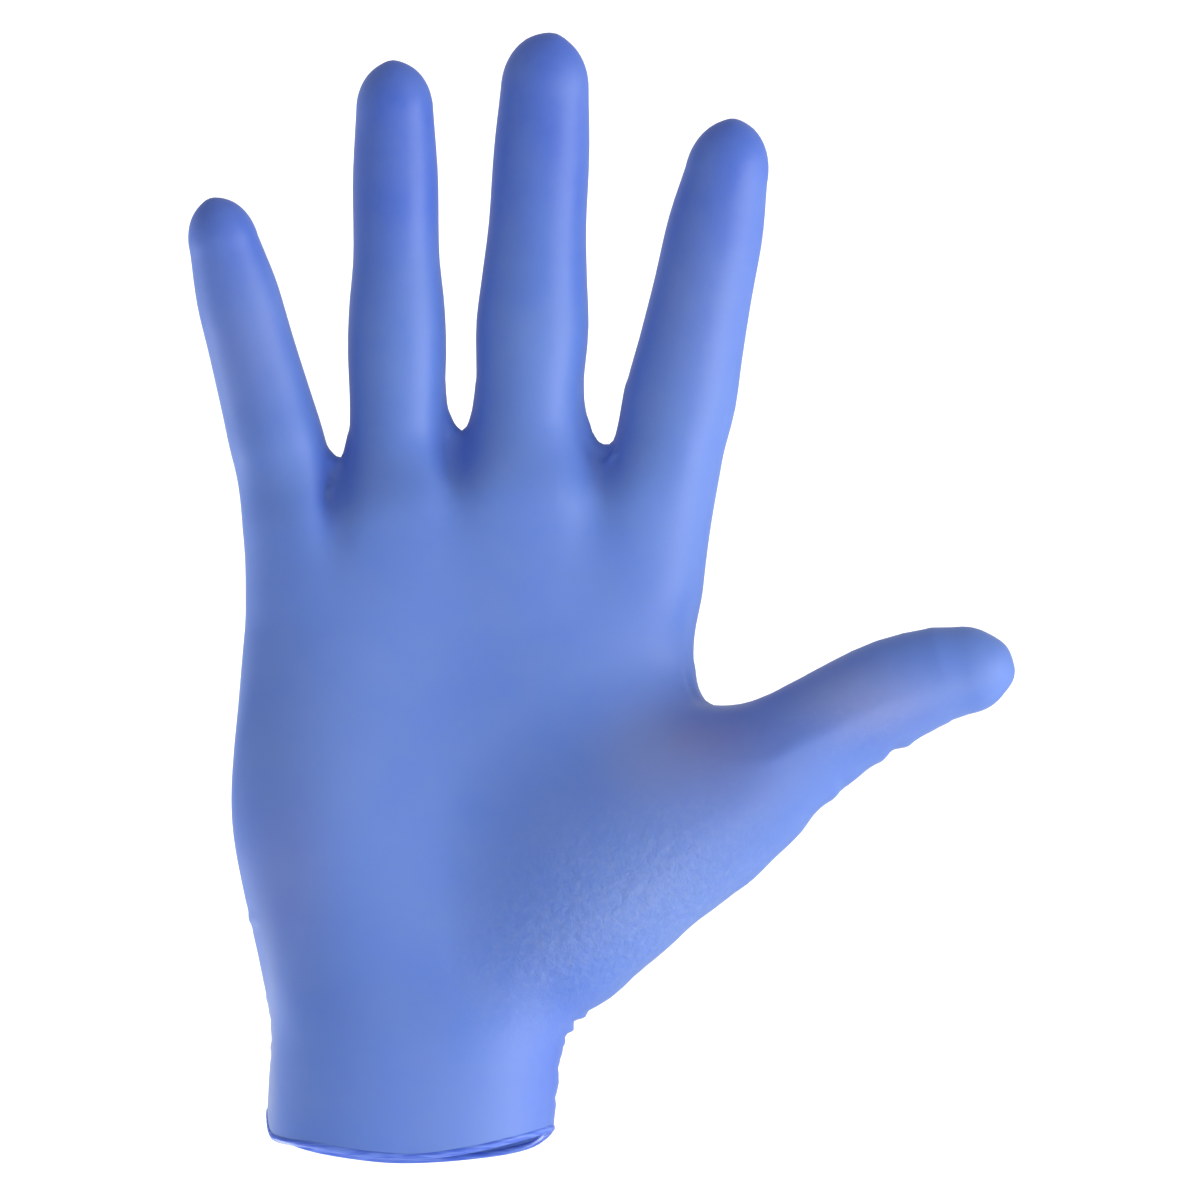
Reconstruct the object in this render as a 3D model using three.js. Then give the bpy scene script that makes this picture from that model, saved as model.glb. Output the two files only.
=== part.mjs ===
// Disposable nitrile examination glove, right-handed, in its worn form: one dipped film, hollow
// and open at the wrist, and the bead into which the film's edge is rolled.
//
// Millimetres. +Z runs up the fingers, -Y is the palm's side, +X the thumb's side. The origin is the
// middle of the wrist opening, level with the lowest point of the bead on the palm's side.
//
// The outer form is a field: negative inside the glove, zero on the film's outer face. It is
// the smooth union of a trunk (cuff and palm) and five digits, each lofted through a short table of
// sections. A mesh of rows and rings is laid on the field's zero, and the wall is that mesh moved
// inwards by the film's thickness.

import * as THREE from "three";

// Film and bead
const filmWall = 1.0;
const beadDiameter = 2.2;
const beadSides = 8;
const nodeGap = 0.3;

// Cuff: from the rim up to the crease of the wrist
const cuffLength = 27;
const cuffBreadth = 58;
const cuffThickness = 42;

// Palm: from the crease of the wrist up to the webs between the fingers
const palmLength = 113;
const palmBreadth = 92;
const palmThickness = 30;
const webThickness = 12;

// Digits: lengths from the level of the webs to the start of the rounded tip, and breadths. The
// thumb's reach and rise are counted from the middle of the wrist's crease.
const littleLength = 51.3;
const littleBreadth = 19;
const ringLength = 78.6;
const ringBreadth = 19.8;
const middleLength = 83;
const middleBreadth = 22.4;
const indexLength = 67;
const indexBreadth = 22.3;
const thumbReach = 117.6;
const thumbRise = 70;
const thumbForward = 17;
const thumbBreadth = 22.6;

// How far neighbouring forms run into each other. The thumb's blend grows from the crease of the
// wrist up to a share of palmLength.
const fingerBlend = 4;
const palmBlend = 9;
const wristBlend = 5;
const thumbWebBlend = 21;
const thumbBlendRise = 0.5;

// How much higher the rim stands at the two sides of the wrist than on the palm's face, and how
// much lower it hangs on the back. The powers say how near the sides each curve rises.
const rimRise = 4.5;
const backDrop = 2.8;
const palmRimPower = 6;
const backRimPower = 3;

// How much lower the web beside the little finger lies than the others, reached at a share of the
// half breadth
const littleWebDrop = 4.6;
const littleWebAcross = 0.6;

// Cuff sections: heights in shares of cuffLength, breadths in shares of cuffBreadth, measured from
// the glove's axis to the little finger's side and to the thumb's side, and depths in shares of
// cuffThickness.
const cuffSections = [
  { up: 0.0, ulnar: 0.5, radial: 0.488, palm: 0.46, back: 0.46 },
  { up: 0.5, ulnar: 0.487, radial: 0.512, palm: 0.48, back: 0.48 },
  { up: 0.9, ulnar: 0.477, radial: 0.532, palm: 0.48, back: 0.48 },
];

// Palm sections, in shares of palmLength, palmBreadth and palmThickness
const palmSections = [
  { up: 0.09, ulnar: 0.322, radial: 0.365, palm: 0.6, back: 0.6 },
  { up: 0.21, ulnar: 0.352, radial: 0.46, palm: 0.55, back: 0.56 },
  { up: 0.34, ulnar: 0.378, radial: 0.545, palm: 0.52, back: 0.53 },
  { up: 0.47, ulnar: 0.38, radial: 0.6, palm: 0.49, back: 0.51 },
  { up: 0.61, ulnar: 0.368, radial: 0.606, palm: 0.46, back: 0.5 },
  { up: 0.74, ulnar: 0.352, radial: 0.608, palm: 0.46, back: 0.49 },
  { up: 0.88, ulnar: 0.334, radial: 0.604, palm: 0.46, back: 0.48 },
  { up: 1.0, ulnar: 0.33, radial: 0.61, palm: 0.44, back: 0.46 },
];

// Fingers, from the little one to the index. root is where the finger's axis crosses the level of
// the webs, in shares of palmBreadth; lean is its tilt towards the thumb; curl is how far its tip
// comes forward. Rows hold places along the finger in shares of its length, negative inside the
// palm, and half sections in shares of its breadth; the last row is where the rounded tip begins.
const fingers = [
  {
    name: "little",
    root: -0.285,
    length: littleLength,
    breadth: littleBreadth,
    lean: -14.9,
    curl: 5,
    rows: [
      { at: -0.5, wide: 0.46, thick: 0.46 },
      { at: 0.0, wide: 0.5, thick: 0.48 },
      { at: 0.22, wide: 0.476, thick: 0.45 },
      { at: 0.42, wide: 0.455, thick: 0.43 },
      { at: 0.64, wide: 0.438, thick: 0.4 },
      { at: 0.84, wide: 0.38, thick: 0.345 },
    ],
  },
  {
    name: "ring",
    root: -0.026,
    length: ringLength,
    breadth: ringBreadth,
    lean: -0.5,
    curl: 6,
    rows: [
      { at: -0.33, wide: 0.5, thick: 0.5 },
      { at: 0.0, wide: 0.49, thick: 0.5 },
      { at: 0.12, wide: 0.482, thick: 0.48 },
      { at: 0.26, wide: 0.5, thick: 0.475 },
      { at: 0.37, wide: 0.482, thick: 0.46 },
      { at: 0.5, wide: 0.435, thick: 0.42 },
      { at: 0.7, wide: 0.433, thick: 0.395 },
      { at: 0.868, wide: 0.398, thick: 0.345 },
    ],
  },
  {
    name: "middle",
    root: 0.252,
    length: middleLength,
    breadth: middleBreadth,
    lean: 3.0,
    curl: 5,
    rows: [
      { at: -0.3, wide: 0.48, thick: 0.47 },
      { at: 0.0, wide: 0.505, thick: 0.47 },
      { at: 0.15, wide: 0.478, thick: 0.45 },
      { at: 0.3, wide: 0.502, thick: 0.45 },
      { at: 0.42, wide: 0.47, thick: 0.425 },
      { at: 0.55, wide: 0.437, thick: 0.39 },
      { at: 0.72, wide: 0.427, thick: 0.365 },
      { at: 0.87, wide: 0.392, thick: 0.325 },
    ],
  },
  {
    name: "index",
    root: 0.565,
    length: indexLength,
    breadth: indexBreadth,
    lean: 11.6,
    curl: 4,
    rows: [
      { at: -0.38, wide: 0.46, thick: 0.46 },
      { at: 0.0, wide: 0.475, thick: 0.46 },
      { at: 0.16, wide: 0.5, thick: 0.46 },
      { at: 0.32, wide: 0.472, thick: 0.44 },
      { at: 0.5, wide: 0.446, thick: 0.41 },
      { at: 0.68, wide: 0.43, thick: 0.375 },
      { at: 0.846, wide: 0.388, thick: 0.325 },
    ],
  },
];

// Thumb: rows hold its axis in shares of its reach sideways, its rise and its step forward, counted
// from the middle of the wrist's crease, and half sections in shares of its breadth.
const thumb = {
  name: "thumb",
  reach: thumbReach,
  rise: thumbRise,
  forward: thumbForward,
  breadth: thumbBreadth,
  rows: [
    { out: 0.15, up: 0.06, fore: 0.12, wide: 0.61, thick: 0.6 },
    { out: 0.3, up: 0.328, fore: 0.38, wide: 0.78, thick: 0.66 },
    { out: 0.445, up: 0.513, fore: 0.55, wide: 0.742, thick: 0.62 },
    { out: 0.59, up: 0.675, fore: 0.72, wide: 0.62, thick: 0.54 },
    { out: 0.715, up: 0.828, fore: 0.86, wide: 0.5, thick: 0.47 },
    { out: 0.82, up: 0.926, fore: 0.95, wide: 0.472, thick: 0.43 },
    { out: 0.9, up: 0.976, fore: 1.0, wide: 0.42, thick: 0.37 },
    { out: 0.935, up: 0.986, fore: 1.0, wide: 0.39, thick: 0.34 },
  ],
};

// Rounded tips, in shares of a digit's breadth
const tipLength = 0.5;

// Swells and hollows of the trunk's two faces: places in shares of palmBreadth across from the axis
// and of palmLength up from the wrist's crease, spreads and lift in shares of palmThickness. They
// fade out towards the glove's middle plane within reliefDepth.
const relief = [
  { face: -1, across: -0.22, up: 0.36, wide: 0.75, tall: 1.1, lift: 0.15 },
  { face: -1, across: 0.1, up: 0.55, wide: 0.75, tall: 1.0, lift: -0.08 },
  { face: -1, across: -0.155, up: 0.93, wide: 0.13, tall: 0.36, lift: -0.16 },
  { face: -1, across: 0.115, up: 0.96, wide: 0.16, tall: 0.36, lift: -0.14 },
  { face: -1, across: 0.425, up: 0.94, wide: 0.18, tall: 0.4, lift: -0.14 },
  { face: 1, across: -0.22, up: 0.78, wide: 0.3, tall: 0.4, lift: 0.1 },
  { face: 1, across: 0.01, up: 0.84, wide: 0.32, tall: 0.42, lift: 0.11 },
  { face: 1, across: 0.25, up: 0.86, wide: 0.34, tall: 0.42, lift: 0.12 },
  { face: 1, across: 0.49, up: 0.82, wide: 0.34, tall: 0.44, lift: 0.11 },
];
const reliefDepth = 0.3;

// Squareness of the trunk's sections: 2 is an ellipse.
const sectionPower = 2.35;

// Gap in the trunk's thumb side from which the thumb's root fans out: its lowest row in shares of
// palmLength, how far that row climbs towards the thumb and from which share of the half breadth,
// how far the row over the gap clears the thumb's web, and how many faces the gap is high
const gapBottom = 0.12;
const gapClimb = 14;
const gapClimbFrom = -0.4;
const gapOverWeb = 7;
const gapFaces = 7;

// The palm's last row: how far under the webs it lies, and the share of the half breadth from which
// it leans with the outer fingers
const topRowDrop = 6;
const topRowLeanFrom = 0.5;

// How far the first ring of a stall clears the webs beside it, and the level where the search for
// the thumb's web starts, in shares of palmLength
const stallClearance = 2;
const thumbStallClearance = 9;
const thumbWebSearch = 0.6;

// Fineness of the mesh: segments across a finger's face and across its side, insets of the rays'
// cores from the sides in shares of the half depth, lengths between rows and rings, loops between
// the palm and a digit's first ring, and how a patch is evened out
const faceSegments = 5;
const sideSegments = 4;
const sideInset = 0.32;
const thumbInset = 0.85;
const rowSpacing = 7;
const ringSpacing = 5.4;
const samplesPerDigit = 26;
const rootLoops = 1;
const thumbRootLoops = 3;
const relaxRounds = 14;
const relaxShare = 0.6;

// Search for the film along a ray, and the reach over which the field's slope is taken
const castStep = 1.5;
const castHalvings = 18;
const settleRounds = 3;
const slopeReach = 0.05;

// Share of a section inside which the field is level
const levelShare = 0.05;

const webLevel = cuffLength + palmLength;

const degrees = Math.PI / 180;
const mix = THREE.MathUtils.lerp;

// The value of one column of a table at a place, on a smooth curve through the rows.
function alongTable(rows, place, key, column) {
  const last = rows.length - 1;
  if (place <= rows[0][key]) return rows[0][column];
  if (place >= rows[last][key]) return rows[last][column];
  let i = 0;
  while (rows[i + 1][key] < place) i += 1;
  const slope = (j) => {
    const a = rows[Math.max(j - 1, 0)];
    const b = rows[Math.min(j + 1, last)];
    return (b[column] - a[column]) / (b[key] - a[key]);
  };
  const span = rows[i + 1][key] - rows[i][key];
  const t = (place - rows[i][key]) / span;
  const rise = t * t * (3 - 2 * t);
  return (
    mix(rows[i][column], rows[i + 1][column], rise) +
    span * t * (1 - t) * ((1 - t) * slope(i) - t * slope(i + 1))
  );
}

function smoothMin(a, b, reach) {
  const h = Math.max(reach - Math.abs(a - b), 0) / reach;
  return Math.min(a, b) - (h * h * reach) / 4;
}

// The trunk's table in millimetres, from the rim to the webs
const trunkRows = [
  ...cuffSections.map((row) => ({
    z: row.up * cuffLength,
    ulnar: row.ulnar * cuffBreadth,
    radial: row.radial * cuffBreadth,
    palm: row.palm * cuffThickness,
    back: row.back * cuffThickness,
  })),
  ...palmSections.map((row) => ({
    z: cuffLength + row.up * palmLength,
    ulnar: row.ulnar * palmBreadth,
    radial: row.radial * palmBreadth,
    palm: row.palm * palmThickness,
    back: row.back * palmThickness,
  })),
];

function trunkSection(z) {
  const [ulnar, radial, palm, back] = ["ulnar", "radial", "palm", "back"].map((column) =>
    alongTable(trunkRows, z, "z", column),
  );
  return {
    x: (radial - ulnar) / 2,
    y: (back - palm) / 2,
    halfBreadth: (ulnar + radial) / 2,
    halfDepth: (palm + back) / 2,
  };
}

function reliefAt(p) {
  let lift = 0;
  for (const swell of relief) {
    if (Math.sign(p.y) !== swell.face) continue;
    const across = (p.x - swell.across * palmBreadth) / (swell.wide * palmThickness);
    const up = (p.z - cuffLength - swell.up * palmLength) / (swell.tall * palmThickness);
    const facing = THREE.MathUtils.smoothstep(Math.abs(p.y), 0, reliefDepth * palmThickness);
    lift += swell.lift * palmThickness * facing * Math.exp(-across * across - up * up);
  }
  return lift;
}

function trunkField(p) {
  const s = trunkSection(p.z);
  const drop = littleWebDrop * THREE.MathUtils.smoothstep(s.x - p.x, 0, littleWebAcross * s.halfBreadth);
  const lid = Math.max((p.z - webLevel + drop + webThickness) / webThickness, 0);
  const u = Math.abs(p.x - s.x) / s.halfBreadth;
  const v = Math.abs(p.y - s.y) / s.halfDepth;
  const n = sectionPower;
  const k = Math.pow(Math.pow(u, n) + Math.pow(v, n) + Math.pow(lid, n), 1 / n);
  if (k < levelShare) return -s.halfDepth;
  const slope = Math.hypot(
    Math.pow(u / k, n - 1) / s.halfBreadth,
    Math.pow(v / k, n - 1) / s.halfDepth,
    Math.pow(lid / k, n - 1) / webThickness,
  );
  return (k - 1) / slope - reliefAt(p);
}

// A digit's sections, evenly spaced along its axis, each with its centre, half sizes and frame:
// side points to the thumb's side of a finger, face to its back.
function fingerCentre(finger, at) {
  const lean = finger.lean * degrees;
  const bend = Math.max(at, 0);
  return new THREE.Vector3(
    finger.root * palmBreadth + at * finger.length * Math.sin(lean),
    -finger.curl * bend * bend,
    webLevel + at * finger.length * Math.cos(lean),
  );
}

// The thumb's rows with their places along its axis, from 0 at the wrist to 1 at the tip's start
const thumbRows = [];
for (const row of thumb.rows) {
  const before = thumbRows.at(-1) ?? row;
  const step = Math.hypot((row.out - before.out) * thumb.reach, (row.up - before.up) * thumb.rise);
  thumbRows.push({ ...row, at: (before.at ?? 0) + step });
}
const thumbRun = thumbRows.at(-1).at;
for (const row of thumbRows) row.at /= thumbRun;

function thumbCentre(at) {
  return new THREE.Vector3(
    alongTable(thumbRows, at, "at", "out") * thumb.reach,
    -alongTable(thumbRows, at, "at", "fore") * thumb.forward,
    cuffLength + alongTable(thumbRows, at, "at", "up") * thumb.rise,
  );
}

function makeDigit(name, breadth, rows, centreAt) {
  const first = rows[0].at;
  const last = rows.at(-1).at;
  const nudge = (last - first) / 100;
  const sections = [];
  for (let i = 0; i < samplesPerDigit; i += 1) {
    const at = mix(first, last, i / (samplesPerDigit - 1));
    const along = centreAt(Math.min(at + nudge, last)).sub(centreAt(Math.max(at - nudge, first)));
    along.normalize();
    const side = new THREE.Vector3(0, 1, 0).cross(along).normalize();
    sections.push({
      along,
      side,
      face: new THREE.Vector3().crossVectors(along, side),
      centre: centreAt(at),
      wide: alongTable(rows, at, "at", "wide") * breadth,
      thick: alongTable(rows, at, "at", "thick") * breadth,
    });
  }
  return { name, sections, tip: tipLength * breadth };
}

const fingerDigits = fingers.map((finger) =>
  makeDigit(finger.name, finger.breadth, finger.rows, (at) => fingerCentre(finger, at)),
);
const thumbDigit = makeDigit(thumb.name, thumb.breadth, thumbRows, thumbCentre);

// The section at a place along a digit, counted in its sections
function sectionAt(digit, place) {
  const i = THREE.MathUtils.clamp(Math.floor(place), 0, digit.sections.length - 2);
  const a = digit.sections[i];
  const b = digit.sections[i + 1];
  const t = place - i;
  return {
    centre: a.centre.clone().lerp(b.centre, t),
    along: a.along.clone().lerp(b.along, t).normalize(),
    side: a.side.clone().lerp(b.side, t).normalize(),
    face: a.face.clone().lerp(b.face, t).normalize(),
    wide: mix(a.wide, b.wide, t),
    thick: mix(a.thick, b.thick, t),
  };
}

// The place along a digit, counted in its sections, from which on a measure of them passes a level
function placePast(digit, level, measure) {
  const i = digit.sections.findIndex((section) => measure(section) > level);
  const before = measure(digit.sections[i - 1]);
  return i - 1 + (level - before) / (measure(digit.sections[i]) - before);
}

const stretch = new THREE.Vector3();
const offset = new THREE.Vector3();

function digitField(digit, p) {
  const { sections, tip } = digit;
  let nearest = Infinity;
  let place = 0;
  for (let i = 0; i < sections.length - 1; i += 1) {
    stretch.subVectors(sections[i + 1].centre, sections[i].centre);
    offset.subVectors(p, sections[i].centre);
    const t = THREE.MathUtils.clamp(offset.dot(stretch) / stretch.lengthSq(), 0, 1);
    const distance = offset.addScaledVector(stretch, -t).lengthSq();
    if (distance < nearest) {
      nearest = distance;
      place = i + t;
    }
  }
  const s = sectionAt(digit, place);
  offset.subVectors(p, s.centre);
  const u = offset.dot(s.side) / s.wide;
  const v = offset.dot(s.face) / s.thick;
  const w = offset.dot(s.along) / tip;
  const k = Math.hypot(u, v, w);
  if (k < levelShare) return -Math.min(s.wide, s.thick);
  return (k * (k - 1)) / Math.hypot(u / s.wide, v / s.thick, w / tip);
}

// Negative inside the glove, about the distance in millimetres outside it
function gloveField(p) {
  const byFinger = fingerDigits.map((digit) => digitField(digit, p));
  const fingersField = byFinger.reduce((a, b) => smoothMin(a, b, fingerBlend));
  const handField = smoothMin(fingersField, trunkField(p), palmBlend);
  const blendTop = cuffLength + thumbBlendRise * palmLength;
  const rootShare = THREE.MathUtils.smoothstep(p.z, cuffLength, blendTop);
  const thumbBlend = mix(wristBlend, thumbWebBlend, rootShare);
  return smoothMin(handField, digitField(thumbDigit, p), thumbBlend);
}

function outwards(p) {
  const slopes = ["x", "y", "z"].map((axis) => {
    const ahead = p.clone();
    const behind = p.clone();
    ahead[axis] += slopeReach;
    behind[axis] -= slopeReach;
    return gloveField(ahead) - gloveField(behind);
  });
  return new THREE.Vector3(...slopes).normalize();
}

// Where a ray that starts inside the form leaves it
function cast(core, direction) {
  const ray = direction.clone().normalize();
  const at = (distance) => core.clone().addScaledVector(ray, distance);
  let outside = castStep;
  while (gloveField(at(outside)) < 0) outside += castStep;
  let inside = outside - castStep;
  for (let i = 0; i < castHalvings; i += 1) {
    const middle = (inside + outside) / 2;
    if (gloveField(at(middle)) < 0) inside = middle;
    else outside = middle;
  }
  return at((inside + outside) / 2);
}

// The nearest film to a point that is already close to it
function settle(p) {
  const settled = p.clone();
  for (let i = 0; i < settleRounds; i += 1) {
    settled.addScaledVector(outwards(settled), -gloveField(settled));
  }
  return settled;
}

// The webs between neighbouring fingers: where the film crosses from one finger to the next
const webs = fingerDigits.slice(1).map((after, i) => {
  const before = fingerDigits[i];
  const sectionLevel = (digit) =>
    digit.sections.reduce((a, b) =>
      Math.abs(a.centre.z - webLevel) < Math.abs(b.centre.z - webLevel) ? a : b,
    );
  const a = sectionLevel(before);
  const b = sectionLevel(after);
  const x = (a.centre.x + a.wide + b.centre.x - b.wide) / 2;
  const core = new THREE.Vector3(x, (a.centre.y + b.centre.y) / 2, webLevel - 2 * webThickness);
  return cast(core, new THREE.Vector3(0, 0, 1));
});

// The web between the index finger and the thumb: the lowest film over the thumb's axis, searched
// from the trunk's side to the thumb's tip
const thumbWeb = (() => {
  const edge = trunkSection(cuffLength + thumbWebSearch * palmLength);
  const up = new THREE.Vector3(0, 0, 1);
  const topAt = (place) => cast(sectionAt(thumbDigit, place).centre, up);
  let from = placePast(thumbDigit, edge.x + edge.halfBreadth, ({ centre }) => centre.x);
  let to = thumbDigit.sections.length - 1;
  for (let i = 0; i < castHalvings; i += 1) {
    const [a, b] = [mix(from, to, 1 / 3), mix(from, to, 2 / 3)];
    if (topAt(a).z < topAt(b).z) to = b;
    else from = a;
  }
  return topAt(from);
})();

// Mesh under construction: points on the film's outer face, and patches of four-sided faces. Each
// patch becomes a shell of its own.
const points = [];

function addPoint(p) {
  points.push(p);
  return points.length - 1;
}

// Faces between two loops with as many points; a loop is closed and runs the same way round.
function joinLoops(patch, lower, upper) {
  for (let i = 0; i < lower.length; i += 1) {
    const j = (i + 1) % lower.length;
    patch.push([lower[i], lower[j], upper[j], upper[i]]);
  }
}

// Faces between two loops, with loops on the film between them
function joinWithLoops(patch, lower, upper, between) {
  let loop = lower;
  for (let i = 1; i <= between; i += 1) {
    const share = i / (between + 1);
    const next = lower.map((id, m) =>
      addPoint(settle(points[id].clone().lerp(points[upper[m]], share))),
    );
    joinLoops(patch, loop, next);
    loop = next;
  }
  joinLoops(patch, loop, upper);
}

function joinStrips(patch, lower, upper) {
  for (let i = 0; i < lower.length - 1; i += 1) {
    patch.push([lower[i], lower[i + 1], upper[i + 1], upper[i]]);
  }
}

const columns = fingers.length * faceSegments;

// Levels of the gap for the thumb and of the palm's last row
const gapLow = cuffLength + gapBottom * palmLength;
const gapHigh = thumbWeb.z + gapOverWeb;
const topLevel = Math.min(...webs.map((web) => web.z)) - topRowDrop;

// Depth of the form's middle: it comes forward with the thumb's root.
function coreDepth(x, z) {
  const s = trunkSection(z);
  const root = thumbDigit.sections.find((section) => section.centre.z > z);
  if (!root || root.centre.x <= s.x) return s.y;
  const share =
    THREE.MathUtils.smoothstep(x, s.x, root.centre.x) *
    THREE.MathUtils.smoothstep(thumbWeb.z - z, 0, 0.35 * thumb.rise);
  return mix(s.y, root.centre.y, share);
}

// The film's place on one side of the trunk, at a height
function edgeAt(sign, z) {
  const s = trunkSection(z);
  const x = s.x + sign * 0.5 * s.halfBreadth;
  const start = new THREE.Vector3(x, coreDepth(x, z), z);
  return cast(start, new THREE.Vector3(sign, 0, 0)).x;
}

// The two edges of a row. Beside the gap for the thumb the edge runs straight from the row under the
// gap to the row over it.
function rowEdges(level) {
  const gapShare = THREE.MathUtils.clamp((level - gapLow) / (gapHigh - gapLow), 0, 1);
  const right =
    level < gapLow
      ? edgeAt(1, rowHeight(level, 1, -1))
      : mix(edgeAt(1, gapLow + gapClimb), edgeAt(1, Math.max(level, gapHigh)), gapShare);
  return { left: edgeAt(-1, rowHeight(level, -1, -1)), right };
}

// Where a column stands between the two ends of a row's face: evenly at the rim, and drawn to the
// webs at the top
function columnPlace(i, left, right, level) {
  const even = mix(left, right, i / columns);
  const marks = [left, ...webs.map((web) => web.x), right];
  const span = Math.min(Math.floor(i / faceSegments), fingers.length - 1);
  const drawn = mix(marks[span], marks[span + 1], i / faceSegments - span);
  return mix(even, drawn, THREE.MathUtils.smoothstep(level, gapLow, topLevel));
}

// Height of a row at a share of its breadth, from -1 on the little finger's side to 1 on the
// thumb's: the rim hangs lower on the two faces than at the sides, the rows above it climb towards
// the thumb, and the last row leans with the outer fingers.
function rowHeight(level, across, face) {
  const reach = Math.abs(across);
  const rim =
    face < 0
      ? rimRise * Math.pow(reach, palmRimPower)
      : (rimRise + backDrop) * Math.pow(reach, backRimPower) - backDrop;
  const rimShare = 1 - THREE.MathUtils.smoothstep(level, 0, cuffLength);
  const lift = rim + beadDiameter + nodeGap;
  const rising = THREE.MathUtils.smoothstep(level, 0, gapLow);
  const falling = THREE.MathUtils.smoothstep(level, gapLow, gapHigh);
  const climb = (rising - falling) * THREE.MathUtils.smoothstep(across, gapClimbFrom, 1);
  const outer = across < 0 ? fingers[0] : fingers.at(-1);
  const slope = Math.sin(Math.abs(outer.lean) * degrees) * outer.breadth;
  const lean =
    THREE.MathUtils.smoothstep(level, gapHigh, topLevel) *
    THREE.MathUtils.smoothstep(reach, topRowLeanFrom, 1);
  return level + lift * rimShare + climb * gapClimb - lean * slope;
}

// A row of the trunk: points across the palm's face, up the thumb's side, across the back and down
// the little finger's side. Within the gap it has no points on the thumb's side.
function trunkRow(level) {
  const { left, right } = rowEdges(level);
  const { halfDepth } = trunkSection(level);
  const besideGap =
    THREE.MathUtils.smoothstep(level, 0, gapLow) *
    (1 - THREE.MathUtils.smoothstep(level, gapHigh, topLevel));
  const leftEnd = left + sideInset * halfDepth;
  const rightEnd = right - mix(sideInset, thumbInset, besideGap) * halfDepth;
  const coreAt = (x, face) => {
    const across = (2 * x - left - right) / (right - left);
    return new THREE.Vector3(x, coreDepth(x, level), rowHeight(level, across, face));
  };
  const faceRow = (face) =>
    Array.from({ length: columns + 1 }, (_, i) => {
      const core = coreAt(columnPlace(i, leftEnd, rightEnd, level), face);
      return addPoint(cast(core, new THREE.Vector3(0, face, 0)));
    });
  const sideRow = (end, edge) =>
    Array.from({ length: sideSegments - 1 }, (_, k) => {
      const turn = (-90 + (180 * (k + 1)) / sideSegments) * degrees;
      const core = coreAt(end, -1);
      core.z = coreAt(mix(end, edge, Math.cos(turn)), Math.sin(turn)).z;
      const ray = new THREE.Vector3(Math.sign(edge - end) * Math.cos(turn), Math.sin(turn), 0);
      return addPoint(cast(core, ray));
    });
  const inGap = level > gapLow && level < gapHigh;
  return {
    palm: faceRow(-1),
    back: faceRow(1),
    thumbSide: inGap ? null : sideRow(rightEnd, right),
    littleSide: sideRow(leftEnd, left),
  };
}

function levelsBetween(from, to, spacing) {
  const count = Math.max(Math.round((to - from) / spacing), 1);
  return Array.from({ length: count }, (_, i) =>
    i === count - 1 ? to : mix(from, to, (i + 1) / count),
  );
}

// Faces between neighbouring rows of the trunk
function trunkPatch(rows) {
  const patch = [];
  const around = (row) => [
    ...[...row.back].reverse(),
    ...[...row.littleSide].reverse(),
    ...row.palm,
  ];
  const thumbSide = (row) => [row.palm.at(-1), ...row.thumbSide, row.back.at(-1)];
  rows.slice(1).forEach((upper, r) => {
    const lower = rows[r];
    joinStrips(patch, around(lower), around(upper));
    if (!lower.thumbSide || !upper.thumbSide) return;
    joinStrips(patch, thumbSide(lower), thumbSide(upper));
  });
  return patch;
}

// The cuff ends at the wrist's crease, and the palm starts a gap over it.
const palmLow = cuffLength + nodeGap;
const cuffLevels = [0, ...levelsBetween(0, cuffLength, rowSpacing)];
const palmLevels = [
  palmLow,
  ...levelsBetween(palmLow, gapLow, rowSpacing),
  ...levelsBetween(gapLow, gapHigh, (gapHigh - gapLow) / gapFaces),
  ...levelsBetween(gapHigh, topLevel, rowSpacing),
];
const cuffRows = cuffLevels.map(trunkRow);
const palmRows = palmLevels.map(trunkRow);
const cuffPatch = trunkPatch(cuffRows);
const palmPatch = trunkPatch(palmRows);

// One loop round a section of a digit, from the palm's face on the little finger's side
function ringPoints(s, faceCount, pointAt) {
  const count = 2 * (faceCount + sideSegments);
  const start = 270 - (faceCount * 180) / count;
  return Array.from({ length: count }, (_, m) => {
    const angle = (start + (m * 360) / count) * degrees;
    const ray = s.side.clone().multiplyScalar(Math.cos(angle) * s.wide);
    ray.addScaledVector(s.face, Math.sin(angle) * s.thick);
    return addPoint(pointAt(ray));
  });
}

function ringAt(digit, place, faceCount) {
  const s = sectionAt(digit, place);
  return ringPoints(s, faceCount, (ray) => cast(s.centre, ray));
}

// Closes a digit with a grid of faces over its last loop, spread over the rounded tip
function closeTip(patch, loop, faceCount, centre) {
  const known = (i, j) => {
    if (j === 0) return loop[i];
    if (j === sideSegments) return loop[2 * faceCount + sideSegments - i];
    if (i === faceCount) return loop[faceCount + j];
    if (i === 0) return loop[(loop.length - j) % loop.length];
    return null;
  };
  const inner = (i, j) => {
    const sides = points[known(0, j)].clone().lerp(points[known(faceCount, j)], i / faceCount);
    const faces = points[known(i, 0)].clone().lerp(points[known(i, sideSegments)], j / sideSegments);
    return addPoint(cast(centre, sides.lerp(faces, 0.5).sub(centre)));
  };
  const grid = Array.from({ length: faceCount + 1 }, (_, i) =>
    Array.from({ length: sideSegments + 1 }, (__, j) => known(i, j) ?? inner(i, j)),
  );
  for (let i = 0; i < faceCount; i += 1) {
    for (let j = 0; j < sideSegments; j += 1) {
      patch.push([grid[i][j], grid[i + 1][j], grid[i + 1][j + 1], grid[i][j + 1]]);
    }
  }
}

// How steeply the two loops over a digit's last section rise to the tip, before the tip is closed
const tipRises = [0.5, 0.9];

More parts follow.
